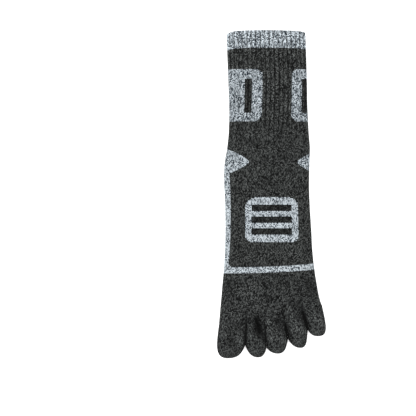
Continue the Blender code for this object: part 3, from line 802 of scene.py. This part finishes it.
def forefoot_plan(size, lobe, v):
    """Plan of the forefoot at lobe coordinate 0 to 5 across it and share v from band to toes.

    A Coons patch: the sum of the two straight blends between opposite edges, less the blend of corners.
    """
    corners = crotch_points(size)
    start_row = stretch_rows(size)[3]
    far = np.stack([np.interp(lobe, np.arange(len(corners)), corners[:, k]) for k in (0, 1)], axis=-1)
    share = (far[..., 0] - corners[0, 0]) / (corners[-1, 0] - corners[0, 0])
    start = start_row - band_rise(size, 2 * share - 1)
    left, right = edges(size, start)
    near = np.stack([left + (right - left) * share, row_to_y(size, start)], axis=-1)
    bulge = 0.0
    for side, first, last, part in (("left", start_row, corners[0], 1 - share),
                                    ("right", start_row - size.band_rise, corners[-1], share)):
        begin = np.array([outline(size, side, first), row_to_y(size, first)])
        rows = first + (row_to_y(size, first) - last[1]) * v
        line = np.stack([outline(size, side, rows), row_to_y(size, rows)], axis=-1)
        straight = begin * (1 - v[..., None]) + last * v[..., None]
        bulge = bulge + (line - straight) * part[..., None]
    return near * (1 - v[..., None]) + far * v[..., None] + bulge, share


def forefoot_surface(size, lobe, v, is_upper):
    """Points of the forefoot. Its arch turns into one lobe for each toe, with furrows in between."""
    lobe, v = np.broadcast_arrays(lobe, v)
    plan, share = forefoot_plan(size, lobe, v)
    rows = stretch_rows(size)[3] + size.forefoot * v - band_rise(size, 2 * share - 1) * (1 - v)
    index = np.clip(lobe.astype(int), 0, len(TOE_NAMES) - 1)
    x = np.clip(2 * (lobe - index) - 1, -1, 1)
    side = 0 if is_upper else 1
    lobed = np.choose(index, [toe_section(size, k, x, 0.0)[side] for k in range(len(TOE_NAMES))])
    plain = tube_sections(size, rows, 2 * share - 1)[side]
    mix = np.where((lobe <= 0) | (lobe >= len(TOE_NAMES)), ease(v), furrow(v) ** FURROW_POWER)
    return np.concatenate([plan, (plain + (lobed - plain) * mix)[..., None]], axis=-1)


def furrow(v):
    """How far the furrows have set in at a share of the forefoot."""
    return ease((v - FURROW_START) / (1 - FURROW_START))


def lobe_columns(segments):
    """Lobe coordinates from 0 to 5 that crowd towards the crotches."""
    inside = (1 - np.cos(np.linspace(0, np.pi, segments + 1)[:-1])) / 2
    return np.append((np.arange(len(TOE_NAMES))[:, None] + inside).ravel(), len(TOE_NAMES))


def crease_shade(lobe):
    """Painted shade from the next lobe, none on a lobe's crown and full at its edges, by lobe coordinate."""
    x = np.abs(2 * (lobe - np.floor(lobe)) - 1)
    return np.clip((x - CREASE_START) / (CREASE_FULL - CREASE_START), 0, 1)


class SOCK_OT_forefoot(bpy.types.Operator):
    """Tube below the band that spreads and furrows towards the toes"""

    bl_idname = "sock.forefoot"
    bl_label = "Forefoot"

    def execute(self, context):
        size, knit = measures()
        v = np.linspace(size.seam / 2 / size.forefoot, 1, steps(size.forefoot, FOREFOOT_STEP))[:, None]
        rows = stretch_rows(size)[3] + size.forefoot * v
        top, under = lobe_columns(LOBE_TOP), lobe_columns(LOBE_UNDER)[::-1]
        upper = forefoot_surface(size, top[None, :], v, True)
        lower = forefoot_surface(size, under[None, :], v, False)
        outer = np.hstack([upper, lower, upper[:, :1]])
        pick = lining_rows(len(v))
        inner = outer[pick]
        # The lining is drawn in by the wall from the side folds, and lies a wall's width above or below
        folds = inner[:, [0, len(top) - 1]]
        centre = folds.mean(axis=1, keepdims=True)
        half = np.linalg.norm(folds[:, 1] - folds[:, 0], axis=-1)[:, None, None] / 2
        rise = np.concatenate([-np.ones(len(top)), np.ones(len(under)), [-1]])
        fold = np.minimum(1, np.abs(inner[..., 2] - centre[..., 2]) / size.wall)
        level = inner[..., 2] + rise * size.wall * fold
        inner = centre + (inner - centre) * (1 - size.wall / half)
        inner[..., 2] = level
        # Stitches count from the middle of the pattern, as above the band
        run = path_lengths(outer[0])
        middle = np.interp(outline(size, "pattern", rows[0, 0]) + centre[0, 0, 0], outer[0, :len(top), 0],
                           run[:len(top)])
        uv = knit_map((run - middle)[None, :] / run[-1] * 2 * half_round(knit), rows)
        # Painted shade in the furrows above the crotches, none at the two free sides
        lobes = np.concatenate([top, under, top[:1]])[None, :]
        free = (lobes < 0.5) | (lobes > len(TOE_NAMES) - 0.5)
        crease = np.where(free, 0.0, FURROW_SHADE * crease_shade(lobes)) * furrow(v) ** FURROW_SHADE_POWER
        knit_wall("forefoot", outer, inner, uv, uv[pick], "charcoal", crease=crease)
        return {"FINISHED"}


def bezier(start, first, second, end, t):
    """Cubic curve in plan from start to end with the two handles between them."""
    t = np.asarray(t)[..., None]
    return ((1 - t) ** 3 * start + 3 * (1 - t) ** 2 * t * first
            + 3 * (1 - t) * t ** 2 * second + t ** 3 * end)


def toe_side(start, crease, tip, rounding, is_free, t):
    """Plan of one side of a toe at shares t of its outline, from the crotch line to the tip.

    It is straight along its neighbour as far as the parting, then a cubic curve. A free side is one curve.
    """
    parted = start + crease
    level = tip + np.array([rounding * (parted[0] - tip[0]), 0.0])
    if is_free:
        return bezier(start, parted, level, tip, t)
    straight = start + crease * (t / PARTING)[:, None]
    rest = np.maximum(t - PARTING, 0) / (1 - PARTING)
    curved = bezier(parted, parted + (tip - parted) * SPLAY, level, tip, rest)
    return np.where((t < PARTING)[:, None], straight, curved)


def toe_outline(size, index, t):
    """Left and right edge of a toe in plan, and its tip."""
    corners = crotch_points(size)
    creases = np.stack([CROTCHES["lean"] * size.width, -CROTCHES["run"] * size.toes], axis=1)
    across = corners[index + 1] - corners[index]
    across = across / np.linalg.norm(across)
    clear = np.array([across[1], -across[0]]) * size.seam
    tip = np.array([TOES["across"][index] * size.width,
                    row_to_y(size, stretch_rows(size)[4] + TOES["reach"][index] * size.toes)])
    sides = []
    for k, way, rounding in ((index, 1, "round_left"), (index + 1, -1, "round_right")):
        is_free = k in (0, len(TOE_NAMES))
        start = corners[k] + clear + way * across * size.seam / 2 * (not is_free)
        sides.append(toe_side(start, creases[k], tip, TOES[rounding][index], is_free, t))
    return *sides, tip


def toe_net(size, index, t, top, under, wall):
    """Net of a toe pocket: a closed row of points round the toe at each share t, drawn in by the wall.

    Top and under are the columns, from -1 to 1 across the toe, of its upper and of its lower side. The
    section closes down to the tip's height over the last part of the outline.
    """
    left, right, tip = toe_outline(size, index, t)
    reach = (right - left) / 2
    half = np.maximum(np.linalg.norm(reach, axis=-1, keepdims=True), TINY)
    reach = reach * np.maximum(0.0, 1 - wall / half)
    tip_height = TOES["height"][index] * size.loft * SIDE_SHARE
    swell = 1 - np.clip((t - TOE_FLAT) / (1 - TOE_FLAT), 0, 1) ** TIP_POWER
    parts = []
    for side, x in enumerate((top, under[::-1])):
        section = toe_section(size, index, x[None, :], t[:, None])[side]
        z = tip_height + (section - tip_height) * swell[:, None]
        span = np.abs(z[:, len(x) // 2] - tip_height)[:, None]
        z = tip_height + (z - tip_height) * np.maximum(0.0, 1 - wall / np.maximum(span, TINY))
        plan = ((left + right) / 2)[:, None, :] + reach[:, None, :] * x[None, :, None]
        parts.append(np.concatenate([plan, z[..., None]], axis=-1))
    return np.hstack([*parts, parts[0][:, :1]]), np.append(tip, tip_height)


class SOCK_OT_toes(bpy.types.Operator):
    """Five closed toe pockets, open to the forefoot"""

    bl_idname = "sock.toes"
    bl_label = "Toes"

    def execute(self, context):
        for index in range(len(TOE_NAMES)):
            toe_pocket(index)
        return {"FINISHED"}


def toe_pocket(index):
    """One toe pocket: an outer net down to its tip and an inner one that ends a wall's width above it."""
    size, knit = measures()
    t = np.sin(np.linspace(0, np.pi / 2, TOE_ROWS)) ** TIP_CROWDING
    t[np.argmin(np.abs(t - PARTING))] = PARTING
    top = -np.cos(np.linspace(0, np.pi, LOBE_TOP + 1))
    under = -np.cos(np.linspace(0, np.pi, LOBE_UNDER + 1))
    outer, tip = toe_net(size, index, t, top, under, 0.0)
    outer[-1] = tip
    left, right, _ = toe_outline(size, index, t)
    half = np.linalg.norm(right - left, axis=-1) / 2
    # The lining ends where the toe is only as wide as its two walls
    last = np.interp(-size.wall, -half[t > PARTING], t[t > PARTING])
    inner_t = np.linspace(0, 1, TOE_INNER_ROWS) * last
    inner, _ = toe_net(size, index, inner_t, top, under, size.wall)
    inner[-1] = inner[-1].mean(axis=0)
    run = path_lengths(outer[GAUGE_ROW])
    around = round(run[-1] / knit.wale) * knit.wale
    u = (run / run[-1] - np.interp(0.0, top, run[:len(top)] / run[-1])) * around
    down = path_lengths(outer[:, len(top) // 2])
    start = stretch_rows(size)[4]
    uv = knit_map(u[None, :], start + down[:, None])
    uv_inner = knit_map(u[None, :], start + np.interp(inner_t, t, down)[:, None])
    x = np.concatenate([top, under[::-1], top[:1]])[None, :]
    # Painted shade in the creases, fading to that of a free edge past the parting; painted light on the crown
    near = np.where(x < 0, *CROTCHES["shade"][index:index + 2])
    parting = ease((t[:, None] - RIM_START) / (RIM_END - RIM_START))
    crease = crease_shade((x + 1) / 2 % 1.0) * (near + (RIM_SHADE - near) * parting)
    crease = crease - CROWN_LIGHT * (1 - x ** 2) * ease(t[:, None] / CROTCH_FADE)
    knit_wall(TOE_NAMES[index], outer, inner, uv, uv_inner, "charcoal", crease=crease)


def add(tree, kind, inputs=(), **settings):
    """Adds a shader node, sets its properties, and links or sets its inputs by name or number."""
    node = tree.nodes.new("ShaderNode" + kind)
    for name, value in settings.items():
        setattr(node, name, value)
    for name, value in dict(inputs).items():
        if isinstance(value, bpy.types.NodeSocket):
            tree.links.new(value, node.inputs[name])
        else:
            node.inputs[name].default_value = value
    return node


# Pattern in light marl, in millimetres from its middle and below the cuff's edge. Halves are half widths and
# half heights. A round is a corner's radius, and upper_round adds to it at the badge's upper corners. The
# bar_cycle is half the way from bar to bar, of which bar_edge stays light. The fillet lies outside a circle
# about side_edge and band_edge, whose radius squared is fillet_square.
PATTERN = {
    "frame_u": 44.3, "frame_v": 70.6, "frame_half_u": 21.3, "frame_half_v": 21.2, "frame_round": 7.0,
    "slot_u": 13.1, "slot_v": 71.0, "slot_half_u": 3.8, "slot_half_v": 18.2,
    "badge_u": -2.0, "badge_v": 204.95, "badge_half_u": 26.3, "badge_half_v": 23.9, "badge_round": 7.5,
    "upper_round": 3.0, "bars_half_u": 20.0, "bars_half_v": 20.0, "bar_start": 197.95, "bar_cycle": 6.45,
    "bar_edge": 3.0, "side_edge": 37.6, "band_edge": 250.4, "fillet_square": 30.0,
}

# Noise in the knit, as scales across and down per millimetre, and its detail. Fibre is the fuzz of the yarn,
# about 0.2 mm wide. Cloud changes the tone over about 14 mm, and streak makes the painted shade of the ribs
# uneven.
NOISES = {"fibre": (5.0, 5.0, 2.0), "cloud": (0.07, 0.07, 2.0), "streak": (0.22, 0.12, 1.0)}

# Yarns of the charcoal and of the light marl: value that says which ply shows, its dark and its pale colour,
# and the values between which the first turns into the second
PLIES = (("rare_ply", "coal", "ash", 0.12, 0.95), ("ply", "slate", "milk", 0.34, 0.70))

# Terry loops of the lining
LOOPS_PER_MM = 0.9
LOOP_RELIEF = 0.6 * MM

# How the ribs show in the colour, as painted shade in their grooves and painted light on their ridges
RIB_CALM = 0.2  # how much less in light marl
RIB_REST = 22.0  # millimetres above the gore points where they are gone
RIB_BLUR = 36.0  # millimetres over which they go

SIGNS = {"+": "ADD", "-": "SUBTRACT", "*": "MULTIPLY", "/": "DIVIDE", "<": "LESS_THAN", ">": "GREATER_THAN"}

# A stitch of plain knit is a V of two slanting stretches of yarn. Places count in wales and courses, and each
# stretch climbs 1.1 courses from the middle of its wale to the edge.
STITCH = """
column = u / wale_mm
wale = FLOOR column
off = column - wale - 0.5
slant = ABSOLUTE off
climb = slant * 1.1
line = v / course_mm + climb
course = FLOOR line
half_course = FLOOR line * 2.0
side = off > 0.0
stretch = wale * 2.0 + side
over = line - course
over_arch = SINE over * 3.14159
over_bead = POWER over_arch, 0.6
along_arch = SINE slant * 6.28318
along_top = MAXIMUM along_arch, 0.0
along_bead = POWER along_top, 0.5
crest = along_bead * 0.6 + 0.4
bead = over_bead * crest
stitch_u = wale + 0.5
centre_u = stitch_u * wale_mm
stitch_v = course + 0.5
centre_v = stitch_v * course_mm
"""

# A mask is 1 in light marl, and inner is 1 in the charcoal spots that the pattern encloses. The frames on the
# leg are mirrored, and each is a rounded block with two upright slots.
FRAME_MASK = """
side_u = ABSOLUTE centre_u
block_u = ABSOLUTE side_u - frame_u
block_v = ABSOLUTE centre_v - frame_v
corner_u = MAXIMUM block_u - frame_half_u, 0.0
corner_v = MAXIMUM block_v - frame_half_v, 0.0
square_u = corner_u * corner_u
square_round = frame_round * frame_round
in_block = corner_v * corner_v + square_u < square_round
from_slot_u = ABSOLUTE block_u - slot_u
from_slot_v = ABSOLUTE centre_v - slot_v
in_slot_u = from_slot_u < slot_half_u
in_slot_v = from_slot_v < slot_half_v
inner = in_slot_u * in_slot_v
mask = MAXIMUM in_block - inner, 0.0
"""

# The badge on the instep is a block with three level bars, rounded more at its upper corners. The fillet
# rounds the instep's own corner, where the sole's strip meets the band.
BADGE_MASK = """
block_u = ABSOLUTE centre_u - badge_u
from_v = centre_v - badge_v
block_v = ABSOLUTE from_v
is_upper = from_v < 0.0
round = is_upper * upper_round + badge_round
corner_u = MAXIMUM block_u + round - badge_half_u, 0.0
corner_v = MAXIMUM block_v + round - badge_half_v, 0.0
square_u = corner_u * corner_u
square_round = round * round
in_block = corner_v * corner_v + square_u < square_round
bar_wave = PINGPONG centre_v - bar_start, bar_cycle
in_bar = bar_wave > bar_edge
in_bars_u = block_u < bars_half_u
in_bars_v = block_v < bars_half_v
inner = in_bar * in_bars_u * in_bars_v
badge = MAXIMUM in_block - inner, 0.0
to_side = MAXIMUM u * -1.0 - side_edge, 0.0
to_band = MAXIMUM v - band_edge, 0.0
side_square = to_side * to_side
fillet = to_band * to_band + side_square > fillet_square
mask = MAXIMUM badge, fillet
"""

# Share of the pale ply at each place, the relief, and painted shade and light: painted shade in the purl
# grooves of the ribs and painted light on their ridges, painted shade in the gaps between stitches, darker
# charcoal in the spots that the pattern encloses, partly denser knit and partly painted shade, and the
# painted shade and light of creases, dents and toe crowns that the crease attribute holds.
# The foot is knitted without ribs and shows more of its pale ply. The weights are matched.
SHADES = """
tuft = fibre - 0.5
limb_part = limb * 0.7
twist = strand * 0.3 + limb_part
fuzzy = tuft * 0.5 + twist
from_gore = v - leg_mm
some_foot = MINIMUM from_gore * 0.07 - 1.0, 1.0
foot = MAXIMUM some_foot, 0.0
ply = foot * 0.075 - 0.025 + fuzzy
some_ply = MAXIMUM fuzzy + 0.02, 0.0
rare_ply = POWER some_ply, 2.0
rib_wave = COSINE u * rib_turns
purl = POWER rib_wave * -0.5 + 0.5, 2.0
from_ribs = from_gore + rib_rest
some_rib = MINIMUM from_ribs / rib_blur, 1.0
rib_part = MAXIMUM some_rib, 0.0
plain = 1.0 - mask
uneven = streak * 1.6 + 0.2
rib_contrast = plain * 0.75 + 0.20
rib_dark = rib_contrast * uneven * purl
rib_swing = plain * 0.40 - rib_dark
ridge = rib_swing * rib_part + 1.0
drift = cloud - 0.5
hollow = bead * 0.6 + 0.4
cloudy = drift * 0.25 + hollow
behind = inner * -0.45 + 1.0
open = MAXIMUM crease * -0.9 + behind, 0.06
shade = cloudy * open * ridge
fuzz = tuft * 0.5 + bead
relief = fuzz * stitch_mm
"""

# Knits: name of the finish, slot in the record, mask, and 1 where the plain knit is light marl. Charcoal marl
# reads as near black with grey specks, and light marl as white speckled with slate. Both are cotton terry,
# dull, with a little fuzz, and specks as wide as half a stitch.
FINISHES = {
    "charcoal": ("charcoal_marl_knit", "charcoal_knit", "", 0),
    "light": ("light_marl_knit", "light_grey_marl_knit", "", 1),
    "leg": ("charcoal_marl_knit_with_frames", "charcoal_knit", FRAME_MASK, 0),
    "instep": ("charcoal_marl_knit_with_badge", "charcoal_knit", BADGE_MASK, 0),
}


def chain(tree, values, text):
    """Terms with signs between them, a Math node for each sign, strictly from left to right."""
    words = text.split()
    total, *terms = (values[word] if word in values else float(word) for word in words[::2])
    for sign, term in zip(words[1::2], terms):
        total = add(tree, "Math", {0: total, 1: term}, operation=SIGNS[sign]).outputs[0]
    return total


def reckon(tree, values, lines):
    """Works through lines of arithmetic, whose results join the values.

    A line is a chain, or an operation and the chains that it works on, with commas between them. A term of a
    chain is a number or the name of a value.
    """
    for line in filter(None, lines.splitlines()):
        result, right = line.split(" = ")
        operation, _, rest = right.partition(" ")
        if operation.isupper():
            inputs = dict(enumerate(chain(tree, values, text) for text in rest.split(",")))
            values[result] = add(tree, "Math", inputs, operation=operation).outputs[0]
        else:
            values[result] = chain(tree, values, right)


def new_material(name):
    """A material and its empty node tree."""
    material = bpy.data.materials.new(name)
    material.use_nodes = True
    material.node_tree.nodes.clear()
    return material, material.node_tree


def surface(tree, tone, relief, depth, looks, invert=False):
    """Ends a cloth material: a shader of that tone, over relief as bump of that depth."""
    bump = add(tree, "Bump", {"Strength": 1.0, "Distance": depth, "Height": relief}, invert=invert)
    shader = add(tree, "BsdfPrincipled", {"Base Color": tone, "Normal": bump.outputs[0], **looks})
    add(tree, "OutputMaterial", {0: shader.outputs[0]})


def knit_finish(finish):
    """Plain knit of two-ply marl yarn, made on first use: dull, slightly fuzzy and never even in colour."""
    name, _, mask_lines, light = FINISHES[finish]
    if name in bpy.data.materials:
        return bpy.data.materials[name]
    size, knit = measures()
    yarns = bpy.context.scene.yarn_colours
    material, tree = new_material(name)
    uv = add(tree, "UVMap", uv_map="knit").outputs[0]
    split = add(tree, "SeparateXYZ", {0: uv})
    # The point attribute crease: painted shade, and painted light below 0, from creases, dents and crowns
    crease = add(tree, "Attribute", attribute_name="crease")
    values = {"u": split.outputs[0], "v": split.outputs[1], "crease": crease.outputs["Fac"],
              "wale_mm": knit.wale / MM, "course_mm": knit.course / MM, "stitch_mm": knit.stitch / MM,
              "leg_mm": size.leg / MM, "rib_turns": 2 * np.pi * MM / knit.rib, "rib_rest": RIB_REST,
              "rib_blur": -RIB_BLUR, "mask": RIB_CALM * light, "inner": 0.0, **PATTERN}
    reckon(tree, values, STITCH)
    # A draw of its own for each stretch of yarn, and for each half of one
    for draw, down in (("limb", "course"), ("strand", "half_course")):
        number = add(tree, "CombineXYZ", {0: values["stretch"], 1: values[down]}).outputs[0]
        values[draw] = add(tree, "TexWhiteNoise", {"Vector": number}, noise_dimensions="2D").outputs["Value"]
    for draw, (across, down, detail) in NOISES.items():
        place = add(tree, "VectorMath", {0: uv, 1: (across, down, 0.0)}, operation="MULTIPLY").outputs[0]
        inputs = {"Vector": place, "Scale": 1.0, "Detail": detail}
        values[draw] = add(tree, "TexNoise", inputs, noise_dimensions="2D").outputs["Fac"]
    reckon(tree, values, mask_lines + SHADES)
    tones = []
    for share, dark, pale, start, end in PLIES:
        ramp = add(tree, "ValToRGB", {0: values[share]})
        first, last = ramp.color_ramp.elements
        first.position, first.color = start, (*getattr(yarns, dark), 1.0)
        last.position, last.color = end, (*getattr(yarns, pale), 1.0)
        tones.append(ramp.outputs[0])
    tone = tones[light]
    if mask_lines:
        mix = add(tree, "Mix", {0: values["mask"], 6: tones[0], 7: tones[1]}, data_type="RGBA")
        tone = mix.outputs[2]
    grey = add(tree, "CombineXYZ", {k: values["shade"] for k in range(3)})
    shaded = add(tree, "VectorMath", {0: tone, 1: grey.outputs[0]}, operation="MULTIPLY")
    surface(tree, shaded.outputs[0], values["relief"], MM, {
        "Roughness": 0.95, "IOR": 1.45, "Specular IOR Level": 0.08, "Sheen Weight": 0.02,
        "Sheen Roughness": 0.5})
    return material


def lining_finish():
    """Inside of the terry knit, made on first use: soft loops about a millimetre wide, dark and matt."""
    if "terry_loops" in bpy.data.materials:
        return bpy.data.materials["terry_loops"]
    material, tree = new_material("terry_loops")
    uv = add(tree, "UVMap", uv_map="knit")
    loops = add(tree, "TexVoronoi", {"Vector": uv.outputs[0], "Scale": LOOPS_PER_MM}, voronoi_dimensions="2D")
    # Darker towards the gaps between the loops: painted shade
    ramp = add(tree, "ValToRGB", {0: loops.outputs["Distance"]})
    first, last = ramp.color_ramp.elements
    first.color = (*bpy.context.scene.yarn_colours.lining, 1.0)
    last.position, last.color = 0.8, (*linear("#0d0d10"), 1.0)
    surface(tree, ramp.outputs[0], loops.outputs["Distance"], LOOP_RELIEF,
            {"Roughness": 1.0, "Specular IOR Level": 0.1}, True)
    return material


def put(name, data, place=(0.0, 0.0, 0.0), **settings):
    """A new object of the stage at a place, with its data's properties set."""
    for setting, value in settings.items():
        setattr(data, setting, value)
    thing = bpy.data.objects.new(name, data)
    thing.location = place
    bpy.context.scene.collection.objects.link(thing)
    return thing


class SOCK_OT_stage(bpy.types.Operator):
    """White paper, soft light from above and the camera of the photograph"""

    bl_idname = "sock.stage"
    bl_label = "Stage"

    def execute(self, context):
        scene = context.scene
        corners = [(x * FLOOR_HALF, y * FLOOR_HALF, FLOOR_LEVEL)
                   for x, y in ((-1, -1), (1, -1), (1, 1), (-1, 1))]
        mesh = bpy.data.meshes.new("floor")
        mesh.from_pydata(corners, [], [(0, 1, 2, 3)])
        # White paper, quite matt, with a little light of its own that keeps it even
        paper, tree = new_material("matt_paper")
        shader = add(tree, "BsdfPrincipled", {
            "Base Color": (*scene.yarn_colours.floor, 1.0), "Roughness": 0.9, "Specular IOR Level": 0.1,
            "Emission Color": (1.0, 1.0, 1.0, 1.0), "Emission Strength": PAPER_GLOW})
        add(tree, "OutputMaterial", {0: shader.outputs[0]})
        mesh.materials.append(paper)
        put("floor", mesh)

        scene.world = bpy.data.worlds.new("studio")
        scene.world.use_nodes = True
        sky = scene.world.node_tree.nodes["Background"]
        sky.inputs["Color"].default_value = (1.0, 1.0, 1.0, 1.0)
        sky.inputs["Strength"].default_value = SKY
        for name, place, width, power in LIGHTS:
            light = put(name, bpy.data.lights.new(name, "AREA"), place, size=width, energy=power)
            light.rotation_euler = Vector(place).to_track_quat("Z", "Y").to_euler()

        level = scene.sock_sizes.loft / 2 + VIEW_WIDTH * LENS / SENSOR
        scene.camera = put("photo_camera", bpy.data.cameras.new("photo_camera"), (*VIEW_MIDDLE, level),
                           lens=LENS, sensor_width=SENSOR, clip_end=10.0)
        scene.view_settings.view_transform = "Standard"
        return {"FINISHED"}


class SOCK_PT_panel(bpy.types.Panel):
    """Sizes, colours and pieces of the sock"""

    bl_idname = "SOCK_PT_panel"
    bl_label = "Toe sock"
    bl_space_type = "VIEW_3D"
    bl_region_type = "UI"
    bl_category = "Toe sock"

    def draw(self, context):
        for group in GROUPS:
            box = self.layout.box()
            for name in getattr(context.scene, group).bl_rna.properties.keys():
                if name not in ("rna_type", "name"):
                    box.prop(getattr(context.scene, group), name)
        for operator in PIECES:
            self.layout.operator(operator.bl_idname)


GROUPS = {"sock_sizes": SockSizes, "knit_sizes": KnitSizes, "yarn_colours": YarnColours}
PIECES = (SOCK_OT_cuff, SOCK_OT_leg, SOCK_OT_heel, SOCK_OT_instep, SOCK_OT_sole, SOCK_OT_foot_band,
          SOCK_OT_forefoot, SOCK_OT_toes, SOCK_OT_stage)


def register():
    """Makes the groups, the operators and the panel known."""
    for kind in (*GROUPS.values(), *PIECES, SOCK_PT_panel):
        bpy.utils.register_class(kind)
    for name, kind in GROUPS.items():
        setattr(bpy.types.Scene, name, bpy.props.PointerProperty(type=kind))


def unregister():
    """Takes them out again."""
    for name in GROUPS:
        delattr(bpy.types.Scene, name)
    for kind in reversed((*GROUPS.values(), *PIECES, SOCK_PT_panel)):
        bpy.utils.unregister_class(kind)


def main():
    """Builds the sock and its stage."""
    register()
    bpy.ops.sock.cuff()
    bpy.ops.sock.leg()
    bpy.ops.sock.heel()
    bpy.ops.sock.instep()
    bpy.ops.sock.sole()
    bpy.ops.sock.foot_band()
    bpy.ops.sock.forefoot()
    bpy.ops.sock.toes()
    bpy.ops.sock.stage()


if __name__ == "__main__":
    main()
